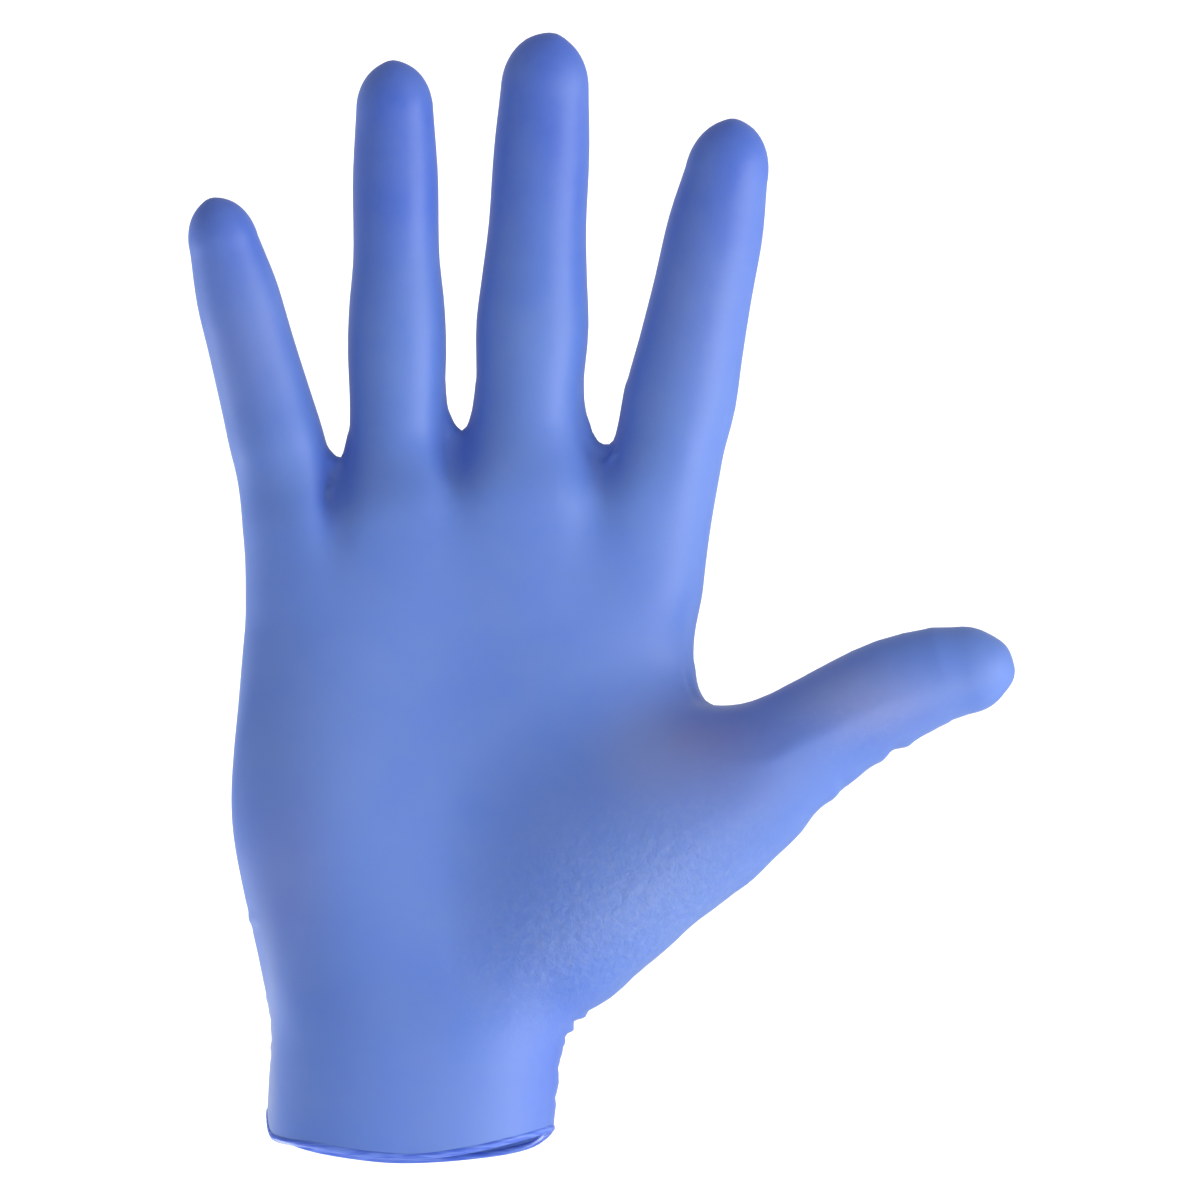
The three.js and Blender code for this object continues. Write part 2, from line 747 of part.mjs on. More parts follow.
// The stall of a digit: rings from a place along it to its tip
function stallPatch(digit, firstPlace, faceCount) {
  const patch = [];
  const last = digit.sections.length - 1;
  const step = digit.sections[1].centre.distanceTo(digit.sections[0].centre);
  const rings = Math.max(Math.round(((last - firstPlace) * step) / ringSpacing), 2);
  let loop = ringAt(digit, firstPlace, faceCount);
  for (let i = 1; i <= rings; i += 1) {
    const next = ringAt(digit, mix(firstPlace, last, i / rings), faceCount);
    joinLoops(patch, loop, next);
    loop = next;
  }
  const end = digit.sections[last];
  for (const rise of tipRises) {
    const next = ringPoints(end, faceCount, (ray) =>
      cast(end.centre, ray.normalize().addScaledVector(end.along, rise)),
    );
    joinLoops(patch, loop, next);
    loop = next;
  }
  closeTip(patch, loop, faceCount, end.centre);
  return patch;
}

// The points of a web, over its crest from the palm's face to the back
function webPoints(web) {
  const core = new THREE.Vector3(web.x, web.y, topLevel);
  return Array.from({ length: sideSegments - 1 }, (_, k) => {
    const turn = ((180 * (k + 1)) / sideSegments) * degrees;
    return addPoint(cast(core, new THREE.Vector3(0, -Math.cos(turn), Math.sin(turn))));
  });
}

const topRow = palmRows.at(-1);
const webRows = webs.map(webPoints);
const stalls = {};

// The first ring of a finger's stall clears the crests of both its webs.
fingerDigits.forEach((digit, f) => {
  const crest = Math.max(...webs.slice(Math.max(f - 1, 0), f + 1).map((web) => web.z));
  const lowest = ({ centre, side, wide }) => centre.z - Math.abs(side.z) * wide;
  const clear = placePast(digit, crest + stallClearance, lowest);
  const first = f * faceSegments;
  const rootLoop = [
    ...topRow.palm.slice(first, first + faceSegments + 1),
    ...(webRows[f] ?? topRow.thumbSide),
    ...topRow.back.slice(first, first + faceSegments + 1).reverse(),
    ...[...(webRows[f - 1] ?? topRow.littleSide)].reverse(),
  ];
  const step = digit.sections[1].centre.distanceTo(digit.sections[0].centre);
  joinWithLoops(palmPatch, rootLoop, ringAt(digit, clear, faceSegments), rootLoops);
  stalls[digit.name] = stallPatch(digit, clear + nodeGap / step, faceSegments);
});

// The thumb's root: it fans out from the gap to the first ring of the thumb's stall.
const firstGapRow = palmLevels.indexOf(gapLow);
const gapRows = palmRows.slice(firstGapRow, firstGapRow + gapFaces + 1);
const thumbRoot = [
  ...gapRows.map((row) => row.palm.at(-1)).reverse(),
  ...gapRows[0].thumbSide,
  ...gapRows.map((row) => row.back.at(-1)),
  ...[...gapRows.at(-1).thumbSide].reverse(),
];
const thumbFirst = placePast(
  thumbDigit,
  thumbWeb.x + thumbStallClearance,
  ({ centre, side, wide }) => centre.x - side.x * wide,
);
const thumbRing = ringAt(thumbDigit, thumbFirst, gapFaces);
joinWithLoops(palmPatch, thumbRoot, thumbRing, thumbRootLoops);
const thumbStep = thumbDigit.sections[1].centre.distanceTo(thumbDigit.sections[0].centre);
stalls.thumb = stallPatch(thumbDigit, thumbFirst + nodeGap / thumbStep, gapFaces);

const edgeKey = (a, b) => `${a} ${b}`;

function edgesOf(patch) {
  return new Set(patch.flatMap((q) => q.map((a, i) => edgeKey(a, q[(i + 1) % 4]))));
}

// Evens out a patch: each point inside it moves towards the middle of its neighbours, along the
// film. Points on the patch's own edges stay.
function relax(patch, rounds) {
  const edges = edgesOf(patch);
  const neighbours = new Map();
  const held = new Set();
  for (const q of patch) {
    q.forEach((a, i) => {
      const b = q[(i + 1) % 4];
      for (const [from, to] of [[a, b], [b, a]]) {
        if (!neighbours.has(from)) neighbours.set(from, new Set());
        neighbours.get(from).add(to);
      }
      if (!edges.has(edgeKey(b, a))) held.add(a).add(b);
    });
  }
  const free = [...neighbours].filter(([id]) => !held.has(id));
  for (let round = 0; round < rounds; round += 1) {
    const moved = free.map(([id, around]) => {
      const middle = new THREE.Vector3();
      for (const other of around) middle.addScaledVector(points[other], 1 / around.size);
      return settle(points[id].clone().lerp(middle, relaxShare));
    });
    free.forEach(([id], i) => points[id].copy(moved[i]));
  }
}

// A shell from a patch: its outer face, the same face moved inwards by the wall, and the edges
// between them
function shellGeometry(patch) {
  const outer = new Map();
  const positions = [];
  const place = (id) => {
    if (!outer.has(id)) {
      outer.set(id, positions.length / 6);
      const inner = points[id].clone().addScaledVector(outwards(points[id]), -filmWall);
      positions.push(...points[id].toArray(), ...inner.toArray());
    }
    return 2 * outer.get(id);
  };
  const index = [];
  const addQuad = (a, b, c, d) => index.push(a, b, c, a, c, d);
  const edges = edgesOf(patch);
  for (const q of patch) {
    const [a, b, c, d] = q.map(place);
    addQuad(a, b, c, d);
    addQuad(d + 1, c + 1, b + 1, a + 1);
    q.forEach((from, i) => {
      const to = q[(i + 1) % 4];
      if (edges.has(edgeKey(to, from))) return;
      addQuad(place(to), place(from), place(from) + 1, place(to) + 1);
    });
  }
  const geometry = new THREE.BufferGeometry();
  geometry.setAttribute("position", new THREE.Float32BufferAttribute(positions, 3));
  geometry.setIndex(index);
  geometry.computeVertexNormals();
  return geometry;
}

// The rolled bead under the film's edge: a ring of round section along the middle of the wall
function beadGeometry() {
  const rim = cuffRows[0];
  const around = [
    ...rim.palm,
    ...rim.thumbSide,
    ...[...rim.back].reverse(),
    ...[...rim.littleSide].reverse(),
  ];
  const path = around.map((id, i) => {
    const before = points[around.at(i - 1)];
    const along = points[around[(i + 1) % around.length]].clone().sub(before).normalize();
    const out = outwards(points[id]);
    const up = new THREE.Vector3().crossVectors(out, along).normalize();
    const middle = points[id].clone().addScaledVector(out, -filmWall / 2);
    return middle.addScaledVector(up, -(nodeGap + beadDiameter / 2));
  });
  const positions = [];
  const index = [];
  path.forEach((centre, i) => {
    const along = path[(i + 1) % path.length].clone().sub(path.at(i - 1)).normalize();
    const out = new THREE.Vector3().crossVectors(along, new THREE.Vector3(0, 0, 1)).normalize();
    const up = new THREE.Vector3().crossVectors(out, along);
    for (let k = 0; k < beadSides; k += 1) {
      const angle = ((k * 360) / beadSides) * degrees;
      const p = centre.clone();
      p.addScaledVector(out, (Math.cos(angle) * beadDiameter) / 2);
      p.addScaledVector(up, (Math.sin(angle) * beadDiameter) / 2);
      positions.push(...p.toArray());
      const here = i * beadSides;
      const next = ((i + 1) % path.length) * beadSides;
      const turn = (k + 1) % beadSides;
      index.push(here + k, next + k, next + turn, here + k, next + turn, here + turn);
    }
  });
  const geometry = new THREE.BufferGeometry();
  geometry.setAttribute("position", new THREE.Float32BufferAttribute(positions, 3));
  geometry.setIndex(index);
  geometry.computeVertexNormals();
  return geometry;
}

const film = new THREE.MeshStandardMaterial({ color: "#6a86d4", roughness: 0.42, metalness: 0 });
const rolledFilm = new THREE.MeshStandardMaterial({ color: "#5a78d6", roughness: 0.4, metalness: 0 });

const glove = new THREE.Group();

function addPiece(name, geometry, material) {
  const mesh = new THREE.Mesh(geometry, material);
  mesh.name = name;
  glove.add(mesh);
}

for (const patch of [cuffPatch, palmPatch]) relax(patch, relaxRounds);
addPiece("cuff", shellGeometry(cuffPatch), film);
addPiece("palm", shellGeometry(palmPatch), film);
for (const [name, patch] of Object.entries(stalls)) {
  addPiece(`${name}_stall`, shellGeometry(patch), film);
}
addPiece("cuff_bead", beadGeometry(), rolledFilm);

export default glove;
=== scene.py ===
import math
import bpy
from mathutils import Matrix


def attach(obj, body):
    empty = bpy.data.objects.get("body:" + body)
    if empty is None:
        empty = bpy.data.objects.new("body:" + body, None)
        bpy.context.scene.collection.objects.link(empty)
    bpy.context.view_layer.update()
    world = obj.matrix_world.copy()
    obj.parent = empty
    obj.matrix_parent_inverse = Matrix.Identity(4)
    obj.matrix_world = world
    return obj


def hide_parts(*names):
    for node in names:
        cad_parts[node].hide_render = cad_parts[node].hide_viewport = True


bl_info = {
    "name": "Nitrile exam glove",
    "version": (1, 0, 0),
    "blender": (4, 5, 0),
    "location": "3D View > Sidebar > Exam glove",
    "description": "A worn nitrile exam glove: its dipped film, its rolled bead and a plain studio",
    "category": "Add Mesh",
}

import bpy
import numpy as np
from mathutils import Vector

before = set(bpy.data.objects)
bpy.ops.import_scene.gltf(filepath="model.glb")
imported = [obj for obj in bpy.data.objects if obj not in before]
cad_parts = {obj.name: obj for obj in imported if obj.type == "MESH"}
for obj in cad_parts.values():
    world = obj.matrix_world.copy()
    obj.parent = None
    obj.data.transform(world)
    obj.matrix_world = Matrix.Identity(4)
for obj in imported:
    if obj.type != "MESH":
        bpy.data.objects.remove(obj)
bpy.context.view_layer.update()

MM = 0.001
# More than any distance on the glove, in millimetres
FAR = 1000.0
# Box round the glove in millimetres: its lower corner in x and y, and its upper one in x, y and z
BOX_LOW, BOX_HIGH = (-50.0, -34.0), (128.0, 30.0, 232.0)
INNER_GRAIN, QUICK_FACTOR = 2.6, 1.8
# How often the points of the film's outside and of its inside are evened out
OUTER_ROUNDS, INNER_ROUNDS = 5, 3

# Nodes of the CAD that the film stands in for
FILM_NODES = [
    "cuff", "palm", "little_stall", "ring_stall", "middle_stall", "index_stall", "thumb_stall",
]

# ---- Form of the glove, in millimetres and in shares of its named sizes ----

# Cuff sections, from the rim up: height in shares of the cuff's length, reach to the little
# finger's side and to the thumb's in shares of its breadth, to the palm and to the back in shares
# of its thickness
CUFF_SECTIONS = [
    (0.0, 0.5, 0.488, 0.46, 0.46),
    (0.5, 0.487, 0.512, 0.48, 0.48),
    (0.9, 0.477, 0.532, 0.48, 0.48),
]

# Palm sections, the same in shares of the palm's length, breadth and thickness
PALM_SECTIONS = [
    (0.09, 0.322, 0.365, 0.6, 0.6),
    (0.21, 0.352, 0.46, 0.55, 0.56),
    (0.34, 0.378, 0.545, 0.52, 0.53),
    (0.47, 0.38, 0.6, 0.49, 0.51),
    (0.61, 0.368, 0.606, 0.46, 0.5),
    (0.74, 0.352, 0.608, 0.46, 0.49),
    (0.88, 0.334, 0.604, 0.46, 0.48),
    (1.0, 0.33, 0.61, 0.44, 0.46),
]

# Fingers from the little one to the index: root in shares of the palm's breadth, lean to the thumb
# in degrees, curl forward in millimetres, and rows of place along the finger in shares of its
# length, with half breadth and half thickness in shares of its breadth
FINGERS = {
    "little": {
        "root": -0.285, "length": 50.5, "breadth": 19.0, "lean": -14.9, "curl": 5.0,
        "rows": [
            (-0.5, 0.46, 0.34), (0.0, 0.5, 0.48), (0.22, 0.476, 0.45), (0.42, 0.455, 0.43),
            (0.64, 0.438, 0.4), (0.84, 0.37, 0.345),
        ],
    },
    "ring": {
        "root": -0.026, "length": 77.6, "breadth": 19.8, "lean": -0.5, "curl": 6.0,
        "rows": [
            (-0.33, 0.5, 0.36), (0.0, 0.49, 0.5), (0.12, 0.482, 0.48), (0.26, 0.5, 0.475),
            (0.37, 0.482, 0.46), (0.5, 0.435, 0.42), (0.7, 0.433, 0.395), (0.872, 0.39, 0.345),
        ],
    },
    "middle": {
        "root": 0.252, "length": 82.2, "breadth": 22.4, "lean": 3.0, "curl": 5.0,
        "rows": [
            (-0.3, 0.48, 0.34), (0.0, 0.505, 0.47), (0.15, 0.478, 0.45), (0.3, 0.502, 0.45),
            (0.42, 0.47, 0.425), (0.55, 0.437, 0.39), (0.72, 0.427, 0.365), (0.878, 0.392, 0.325),
        ],
    },
    "index": {
        "root": 0.565, "length": 66.4, "breadth": 22.3, "lean": 11.6, "curl": 4.0,
        "rows": [
            (-0.38, 0.46, 0.36), (0.0, 0.475, 0.46), (0.16, 0.5, 0.46), (0.32, 0.472, 0.44),
            (0.5, 0.446, 0.41), (0.68, 0.43, 0.375), (0.846, 0.374, 0.325),
        ],
    },
}

# Thumb: rows of reach, rise and step forward in shares of its own, and of half breadth and half
# thickness in shares of its breadth
THUMB = {
    "reach": 117.6, "rise": 70.0, "forward": 17.0, "breadth": 22.6,
    "rows": [
        (0.15, 0.06, 0.12, 0.61, 0.6), (0.3, 0.328, 0.38, 0.78, 0.66),
        (0.445, 0.513, 0.55, 0.742, 0.62), (0.59, 0.675, 0.72, 0.62, 0.54),
        (0.715, 0.828, 0.86, 0.5, 0.47), (0.82, 0.926, 0.95, 0.472, 0.43),
        (0.9, 0.976, 1.0, 0.42, 0.37), (0.935, 0.986, 1.0, 0.39, 0.34),
    ],
}

# Swells and hollows: the face, which is -1 for the palm's and 1 for the back, across in shares of
# the palm's breadth, up in shares of its length, and breadth, height and lift of its thickness
RELIEF = [
    (-1, -0.22, 0.36, 0.75, 1.1, 0.15),
    (-1, 0.1, 0.55, 0.75, 1.0, -0.08),
    (-1, -0.168, 0.93, 0.13, 0.34, -0.12),
    (-1, 0.098, 0.97, 0.16, 0.3, -0.09),
    (-1, 0.41, 0.95, 0.18, 0.34, -0.1),
    (1, -0.22, 0.78, 0.3, 0.4, 0.1),
    (1, 0.01, 0.84, 0.32, 0.42, 0.11),
    (1, 0.25, 0.86, 0.34, 0.42, 0.12),
    (1, 0.49, 0.82, 0.34, 0.44, 0.11),
]

# Webs of film drawn across the crotches of the fingers: round rods along paths of (across, up)
WEB_PATHS = [
    [(-17.6, 137.2), (-16.0, 135.8)],
    [(-10.8, 137.4), (-9.6, 141.6)],
    [(3.9, 152.0), (4.7, 147.6), (6.4, 144.0), (8.0, 141.8)],
    [(12.5, 141.4), (14.3, 143.4), (15.5, 147.4), (16.3, 152.0)],
    [(31.2, 153.0), (31.7, 149.4), (32.5, 146.2), (34.2, 142.4), (36.2, 139.4), (39.4, 137.9)],
    [(43.6, 139.6), (44.8, 144.6), (46.1, 151.5)],
]

# Folds of the film that lie on a face: the face, breadth and depth in millimetres, whether it comes
# to a sharp line, and its path of (across, up). A negative depth is a raised ridge.
FACE_FOLDS = [
    (-1, 1.7, 2.2, True, [(-14.2, 138.2), (-15.4, 134.0), (-16.2, 129.0), (-17.2, 123.0)]),
    (-1, 3.2, 1.5, True, [(7.4, 145.0), (7.8, 139.0), (8.8, 133.0), (10.6, 128.0)]),
    (-1, 3.2, 1.4, True, [(36.6, 145.0), (37.0, 139.0), (38.0, 132.0), (39.6, 127.0)]),
    (-1, 5.0, -1.2, True, [
        (59.2, 78.0), (70.0, 77.6), (76.5, 80.8), (83.6, 84.4), (89.4, 87.2), (96.8, 90.0),
        (104.0, 92.0)
    ]),
    (-1, 0.7, -0.7, False, [(39.4, 137.6), (40.6, 139.4), (41.6, 140.6)]),
    (-1, 0.6, -0.4, False, [(-16.4, 137.4), (-14.4, 138.0)]),
    (-1, 0.7, 0.45, False, [(56.2, 102.0), (56.8, 96.0), (58.8, 91.6), (61.8, 88.6)]),
    (-1, 0.7, 0.35, False, [(54.6, 100.0), (55.4, 94.6), (57.6, 90.0), (60.6, 87.4)]),
    (1, 1.8, 0.6, False, [(-14.6, 139.0), (-15.0, 132.0), (-15.6, 126.0)]),
    (1, 2.2, 0.6, False, [(10.2, 144.0), (9.8, 137.0), (9.8, 130.0)]),
    (1, 2.2, 0.6, False, [(38.6, 143.0), (38.6, 137.0), (37.8, 129.0)]),
]

# Small wrinkles round the wrist: the side, the height there, how far they reach to the palm and to
# the back in degrees, their breadth and their depth
WRIST_WRINKLES = [
    (1, 27.2, 14, 36, 0.8, -0.55),
    (1, 25.6, 18, 40, 0.7, 0.4),
    (1, 24.3, 14, 36, 0.7, -0.35),
    (1, 22.8, 18, 40, 0.7, 0.32),
    (1, 21.4, 14, 36, 0.7, -0.2),
    (1, 19.6, 14, 36, 0.8, -0.3),
    (1, 16.4, 16, 34, 0.7, 0.25),
    (1, 13.4, 16, 34, 0.8, -0.2),
    (1, 10.4, 16, 30, 0.7, 0.25),
    (-1, 46.4, 16, 26, 0.9, -0.3),
    (-1, 30.4, 14, 30, 0.8, -0.2),
    (-1, 26.2, 14, 26, 0.8, 0.2),
    (-1, 20.6, 12, 26, 0.8, -0.2),
]

# The rim's waving line: height in millimetres at shares of the wrist's half breadth, first on the
# palm's side, then on the back
RIM_LINES = {
    -1: [
        (-1.0, 8.4), (-0.985, 5.6), (-0.95, 3.4), (-0.62, 1.9), (-0.32, 0.5), (0.04, -0.1),
        (0.37, 0.9), (0.73, 3.1), (0.97, 4.9), (1.0, 5.0),
    ],
    1: [
        (-1.0, 8.4), (-0.985, 7.4), (-0.95, 5.4), (-0.86, 2.3), (-0.76, 0.9), (-0.57, -0.5),
        (-0.23, -1.9), (0.1, -2.1), (0.43, -1.4), (0.65, -0.5), (0.87, 1.2), (0.97, 3.4),
        (1.0, 4.8),
    ],
}

# Places where the film stands a little proud or sinks in, at the thumb's web and underside and at
# the tips: the place, breadth, height and lift in millimetres
LIFTS = [
    (56.5, 0, 98, 5.0, 7.0, 0.75),
    (69.5, -8, 91.5, 7.0, 5.0, -0.8),
    (119.8, -17, 91.4, 4.5, 3.0, -0.6),
    (117.0, -17, 104.0, 4.5, 3.5, -0.7),
    (121.0, -17, 98.4, 4.0, 4.0, -0.9),
    (81.5, -13, 67.8, 5.0, 4.5, -1.0),
    (69.0, -11, 53.6, 4.5, 4.5, 0.5),
    (57.0, -8, 45.0, 5.0, 4.5, -0.4),
    (40.5, -3, 31.4, 6.0, 5.0, 0.8),
    (-40.0, -5, 190.6, 1.8, 1.8, 0.3),
    (-3.6, -6, 217.6, 1.8, 1.8, 0.3),
    (29.0, -5, 222.6, 1.8, 1.8, 0.3),
    (64.6, -4, 205.6, 1.8, 1.8, 0.3),
    (96.6, -15, 79.2, 1.3, 2.0, -0.6),
    (99.2, -15, 81.0, 1.2, 2.0, 0.35),
    (94.2, -15, 77.6, 1.2, 2.0, 0.3),
    (86.2, -15, 72.8, 1.3, 2.0, -0.4),
    (84.4, -15, 71.2, 1.2, 2.0, 0.3),
]


def linear(colour):
    """An sRGB colour written as #RRGGBB, as the linear values that Blender works in."""
    values = [int(colour[i : i + 2], 16) / 255 for i in (1, 3, 5)]
    return tuple(v / 12.92 if v <= 0.04045 else ((v + 0.055) / 1.055) ** 2.4 for v in values)


# ---- Sizes and colours ----


class GloveFilmSizes(bpy.types.PropertyGroup):
    """Sizes and colours of the dipped film"""

    cuff_length: bpy.props.FloatProperty(
        name="Cuff length", description="From the rim to the crease of the wrist",
        default=27 * MM, unit="LENGTH",
    )
    cuff_breadth: bpy.props.FloatProperty(
        name="Cuff breadth", description="Across the wrist at the rim",
        default=58 * MM, unit="LENGTH",
    )
    cuff_thickness: bpy.props.FloatProperty(
        name="Cuff thickness", description="From the palm's side to the back at the rim",
        default=42 * MM, unit="LENGTH",
    )
    palm_length: bpy.props.FloatProperty(
        name="Palm length", description="From the crease of the wrist to the webs of the fingers",
        default=113 * MM, unit="LENGTH",
    )
    palm_breadth: bpy.props.FloatProperty(
        name="Palm breadth", description="Across the knuckles",
        default=92 * MM, unit="LENGTH",
    )
    palm_thickness: bpy.props.FloatProperty(
        name="Palm thickness", description="From the palm to the back",
        default=30 * MM, unit="LENGTH",
    )
    wall: bpy.props.FloatProperty(
        name="Wall", description="Thickness of the film as modelled",
        default=1.0 * MM, unit="LENGTH",
    )
    grain: bpy.props.FloatProperty(
        name="Mesh grain", description="Size of the faces on the outside of the film",
        default=1.05 * MM, unit="LENGTH",
    )
    fold_depth: bpy.props.FloatProperty(
        name="Fold depth",
        description="How strongly folds and wrinkles show, 1 for as photographed",
        default=1.0, subtype="FACTOR", min=0.0, max=2.0,
    )
    film_colour: bpy.props.FloatVectorProperty(
        name="Film", description="Colour of the film over the palm",
        default=linear("#5E81D3"), subtype="COLOR",
    )
    # Paler film where the dip is thin, and painted light on the palm's lower left and on the ball
    # of the thumb
    taut_colour: bpy.props.FloatVectorProperty(
        name="Thin and lit film", description="Colour where the film is stretched thin",
        default=linear("#6E8BD0"), subtype="COLOR",
    )
    blush_colour: bpy.props.FloatVectorProperty(
        name="Blush", description="Violet tint where the film is thinnest",
        default=linear("#7A7AB8"), subtype="COLOR",
    )
    # Painted shade: patches of this colour darken the fingertips, the crotches, the top of the
    # thumb and the cuff's right flank where they lie in shade
    deep_colour: bpy.props.FloatVectorProperty(
        name="Painted shade film", description="Colour where the film is gathered thick",
        default=linear("#3F62CA"), subtype="COLOR",
    )
    # Pale flecks where the film crinkles and pale loose film along free edges, with painted light
    # on those edges and in the hollow by the thumb's root
    veil_colour: bpy.props.FloatVectorProperty(
        name="Veil", description="Colour where the loose film stands off and looks pale",
        default=linear("#A9B5D6"), subtype="COLOR",
    )


class GloveBeadSizes(bpy.types.PropertyGroup):
    """Sizes and colours of the rolled bead"""

    diameter: bpy.props.FloatProperty(
        name="Bead diameter", description="Across the rolled edge",
        default=1.5 * MM, unit="LENGTH",
    )
    unevenness: bpy.props.FloatProperty(
        name="Unevenness", description="How much the roll's thickness changes round the rim",
        default=0.1, subtype="FACTOR", min=0.0, max=0.4,
    )
    colour: bpy.props.FloatVectorProperty(
        name="Rolled film", description="Colour of several layers of film on each other",
        default=linear("#4668D2"), subtype="COLOR",
    )


class GloveStage(bpy.types.PropertyGroup):
    """The plain studio"""

    floor_colour: bpy.props.FloatVectorProperty(
        name="Floor", description="Colour of the floor and of the sweep behind",
        default=linear("#FAFAFA"), subtype="COLOR",
    )
    distance: bpy.props.FloatProperty(
        name="Camera distance", description="From the camera to the glove",
        default=3.0, unit="LENGTH",
    )
    field: bpy.props.FloatProperty(
        name="Field", description="Side of the square that the camera sees at the glove",
        default=240 * MM, unit="LENGTH",
    )
    key_power: bpy.props.FloatProperty(
        name="Key light", description="Power of the light on the thumb's side",
        default=17.0, unit="POWER",
    )
    low_power: bpy.props.FloatProperty(
        name="Low light", description="Power of the light from the front and below",
        default=6.3, unit="POWER",
    )
    side_power: bpy.props.FloatProperty(
        name="Side light", description="Power of the light before the thumb's side",
        default=14.0, unit="POWER",
    )
    rim_power: bpy.props.FloatProperty(
        name="Rim light", description="Power of the light low behind the little finger's side",
        default=22.0, unit="POWER",
    )
    backdrop_power: bpy.props.FloatProperty(
        name="Backdrop light", description="Power of the light on the sweep",
        default=16.0, unit="POWER",
    )
    room: bpy.props.FloatProperty(
        name="Room", description="Strength of the even light from all round",
        default=0.5, min=0.0,
    )


# ---- The field of the glove's outer form ----


def curve_through(places, values, at):
    """Values of a table at given places, on a smooth curve through its rows."""
    places, values = np.asarray(places, float), np.asarray(values, float)
    x, y = np.pad(places, 1, mode="edge"), np.pad(values, 1, mode="edge")
    slopes = (y[2:] - y[:-2]) / (x[2:] - x[:-2])
    at = np.clip(at, places[0], places[-1])
    i = np.clip(np.searchsorted(places, at, side="left") - 1, 0, len(places) - 2)
    span = places[i + 1] - places[i]
    t = (at - places[i]) / span
    rise = t * t * (3 - 2 * t)
    level = values[i] + (values[i + 1] - values[i]) * rise
    return level + span * t * (1 - t) * ((1 - t) * slopes[i] - t * slopes[i + 1])


def smooth_step(x, low, high):
    """Rises from 0 to 1 between two levels, level at both."""
    t = np.clip((x - low) / (high - low), 0, 1)
    return t * t * (3 - 2 * t)


def smooth_min(a, b, reach):
    """The smaller of two fields, rounded where they come closer than a reach."""
    h = np.maximum(reach - np.abs(a - b), 0) / reach
    return np.minimum(a, b) - h * h * reach / 4


def unit(vectors):
    """Vectors scaled to a length of 1."""
    return vectors / np.maximum(np.linalg.norm(vectors, axis=-1, keepdims=True), 1e-9)


def nearest_on_path(points, path):
    """Distance of each point to a path, its nearest stretch and the share along that stretch."""
    nearest = np.full(len(points), np.inf)
    index = np.zeros(len(points), int)
    share = np.zeros(len(points))
    for i, stretch in enumerate(np.diff(path, axis=0)):
        offset = points - path[i]
        t = np.clip(offset @ stretch / (stretch @ stretch), 0, 1)
        distance = np.linalg.norm(offset - t[:, None] * stretch, axis=1)
        closer = distance < nearest
        nearest = np.where(closer, distance, nearest)
        index = np.where(closer, i, index)
        share = np.where(closer, t, share)
    return nearest, index, share


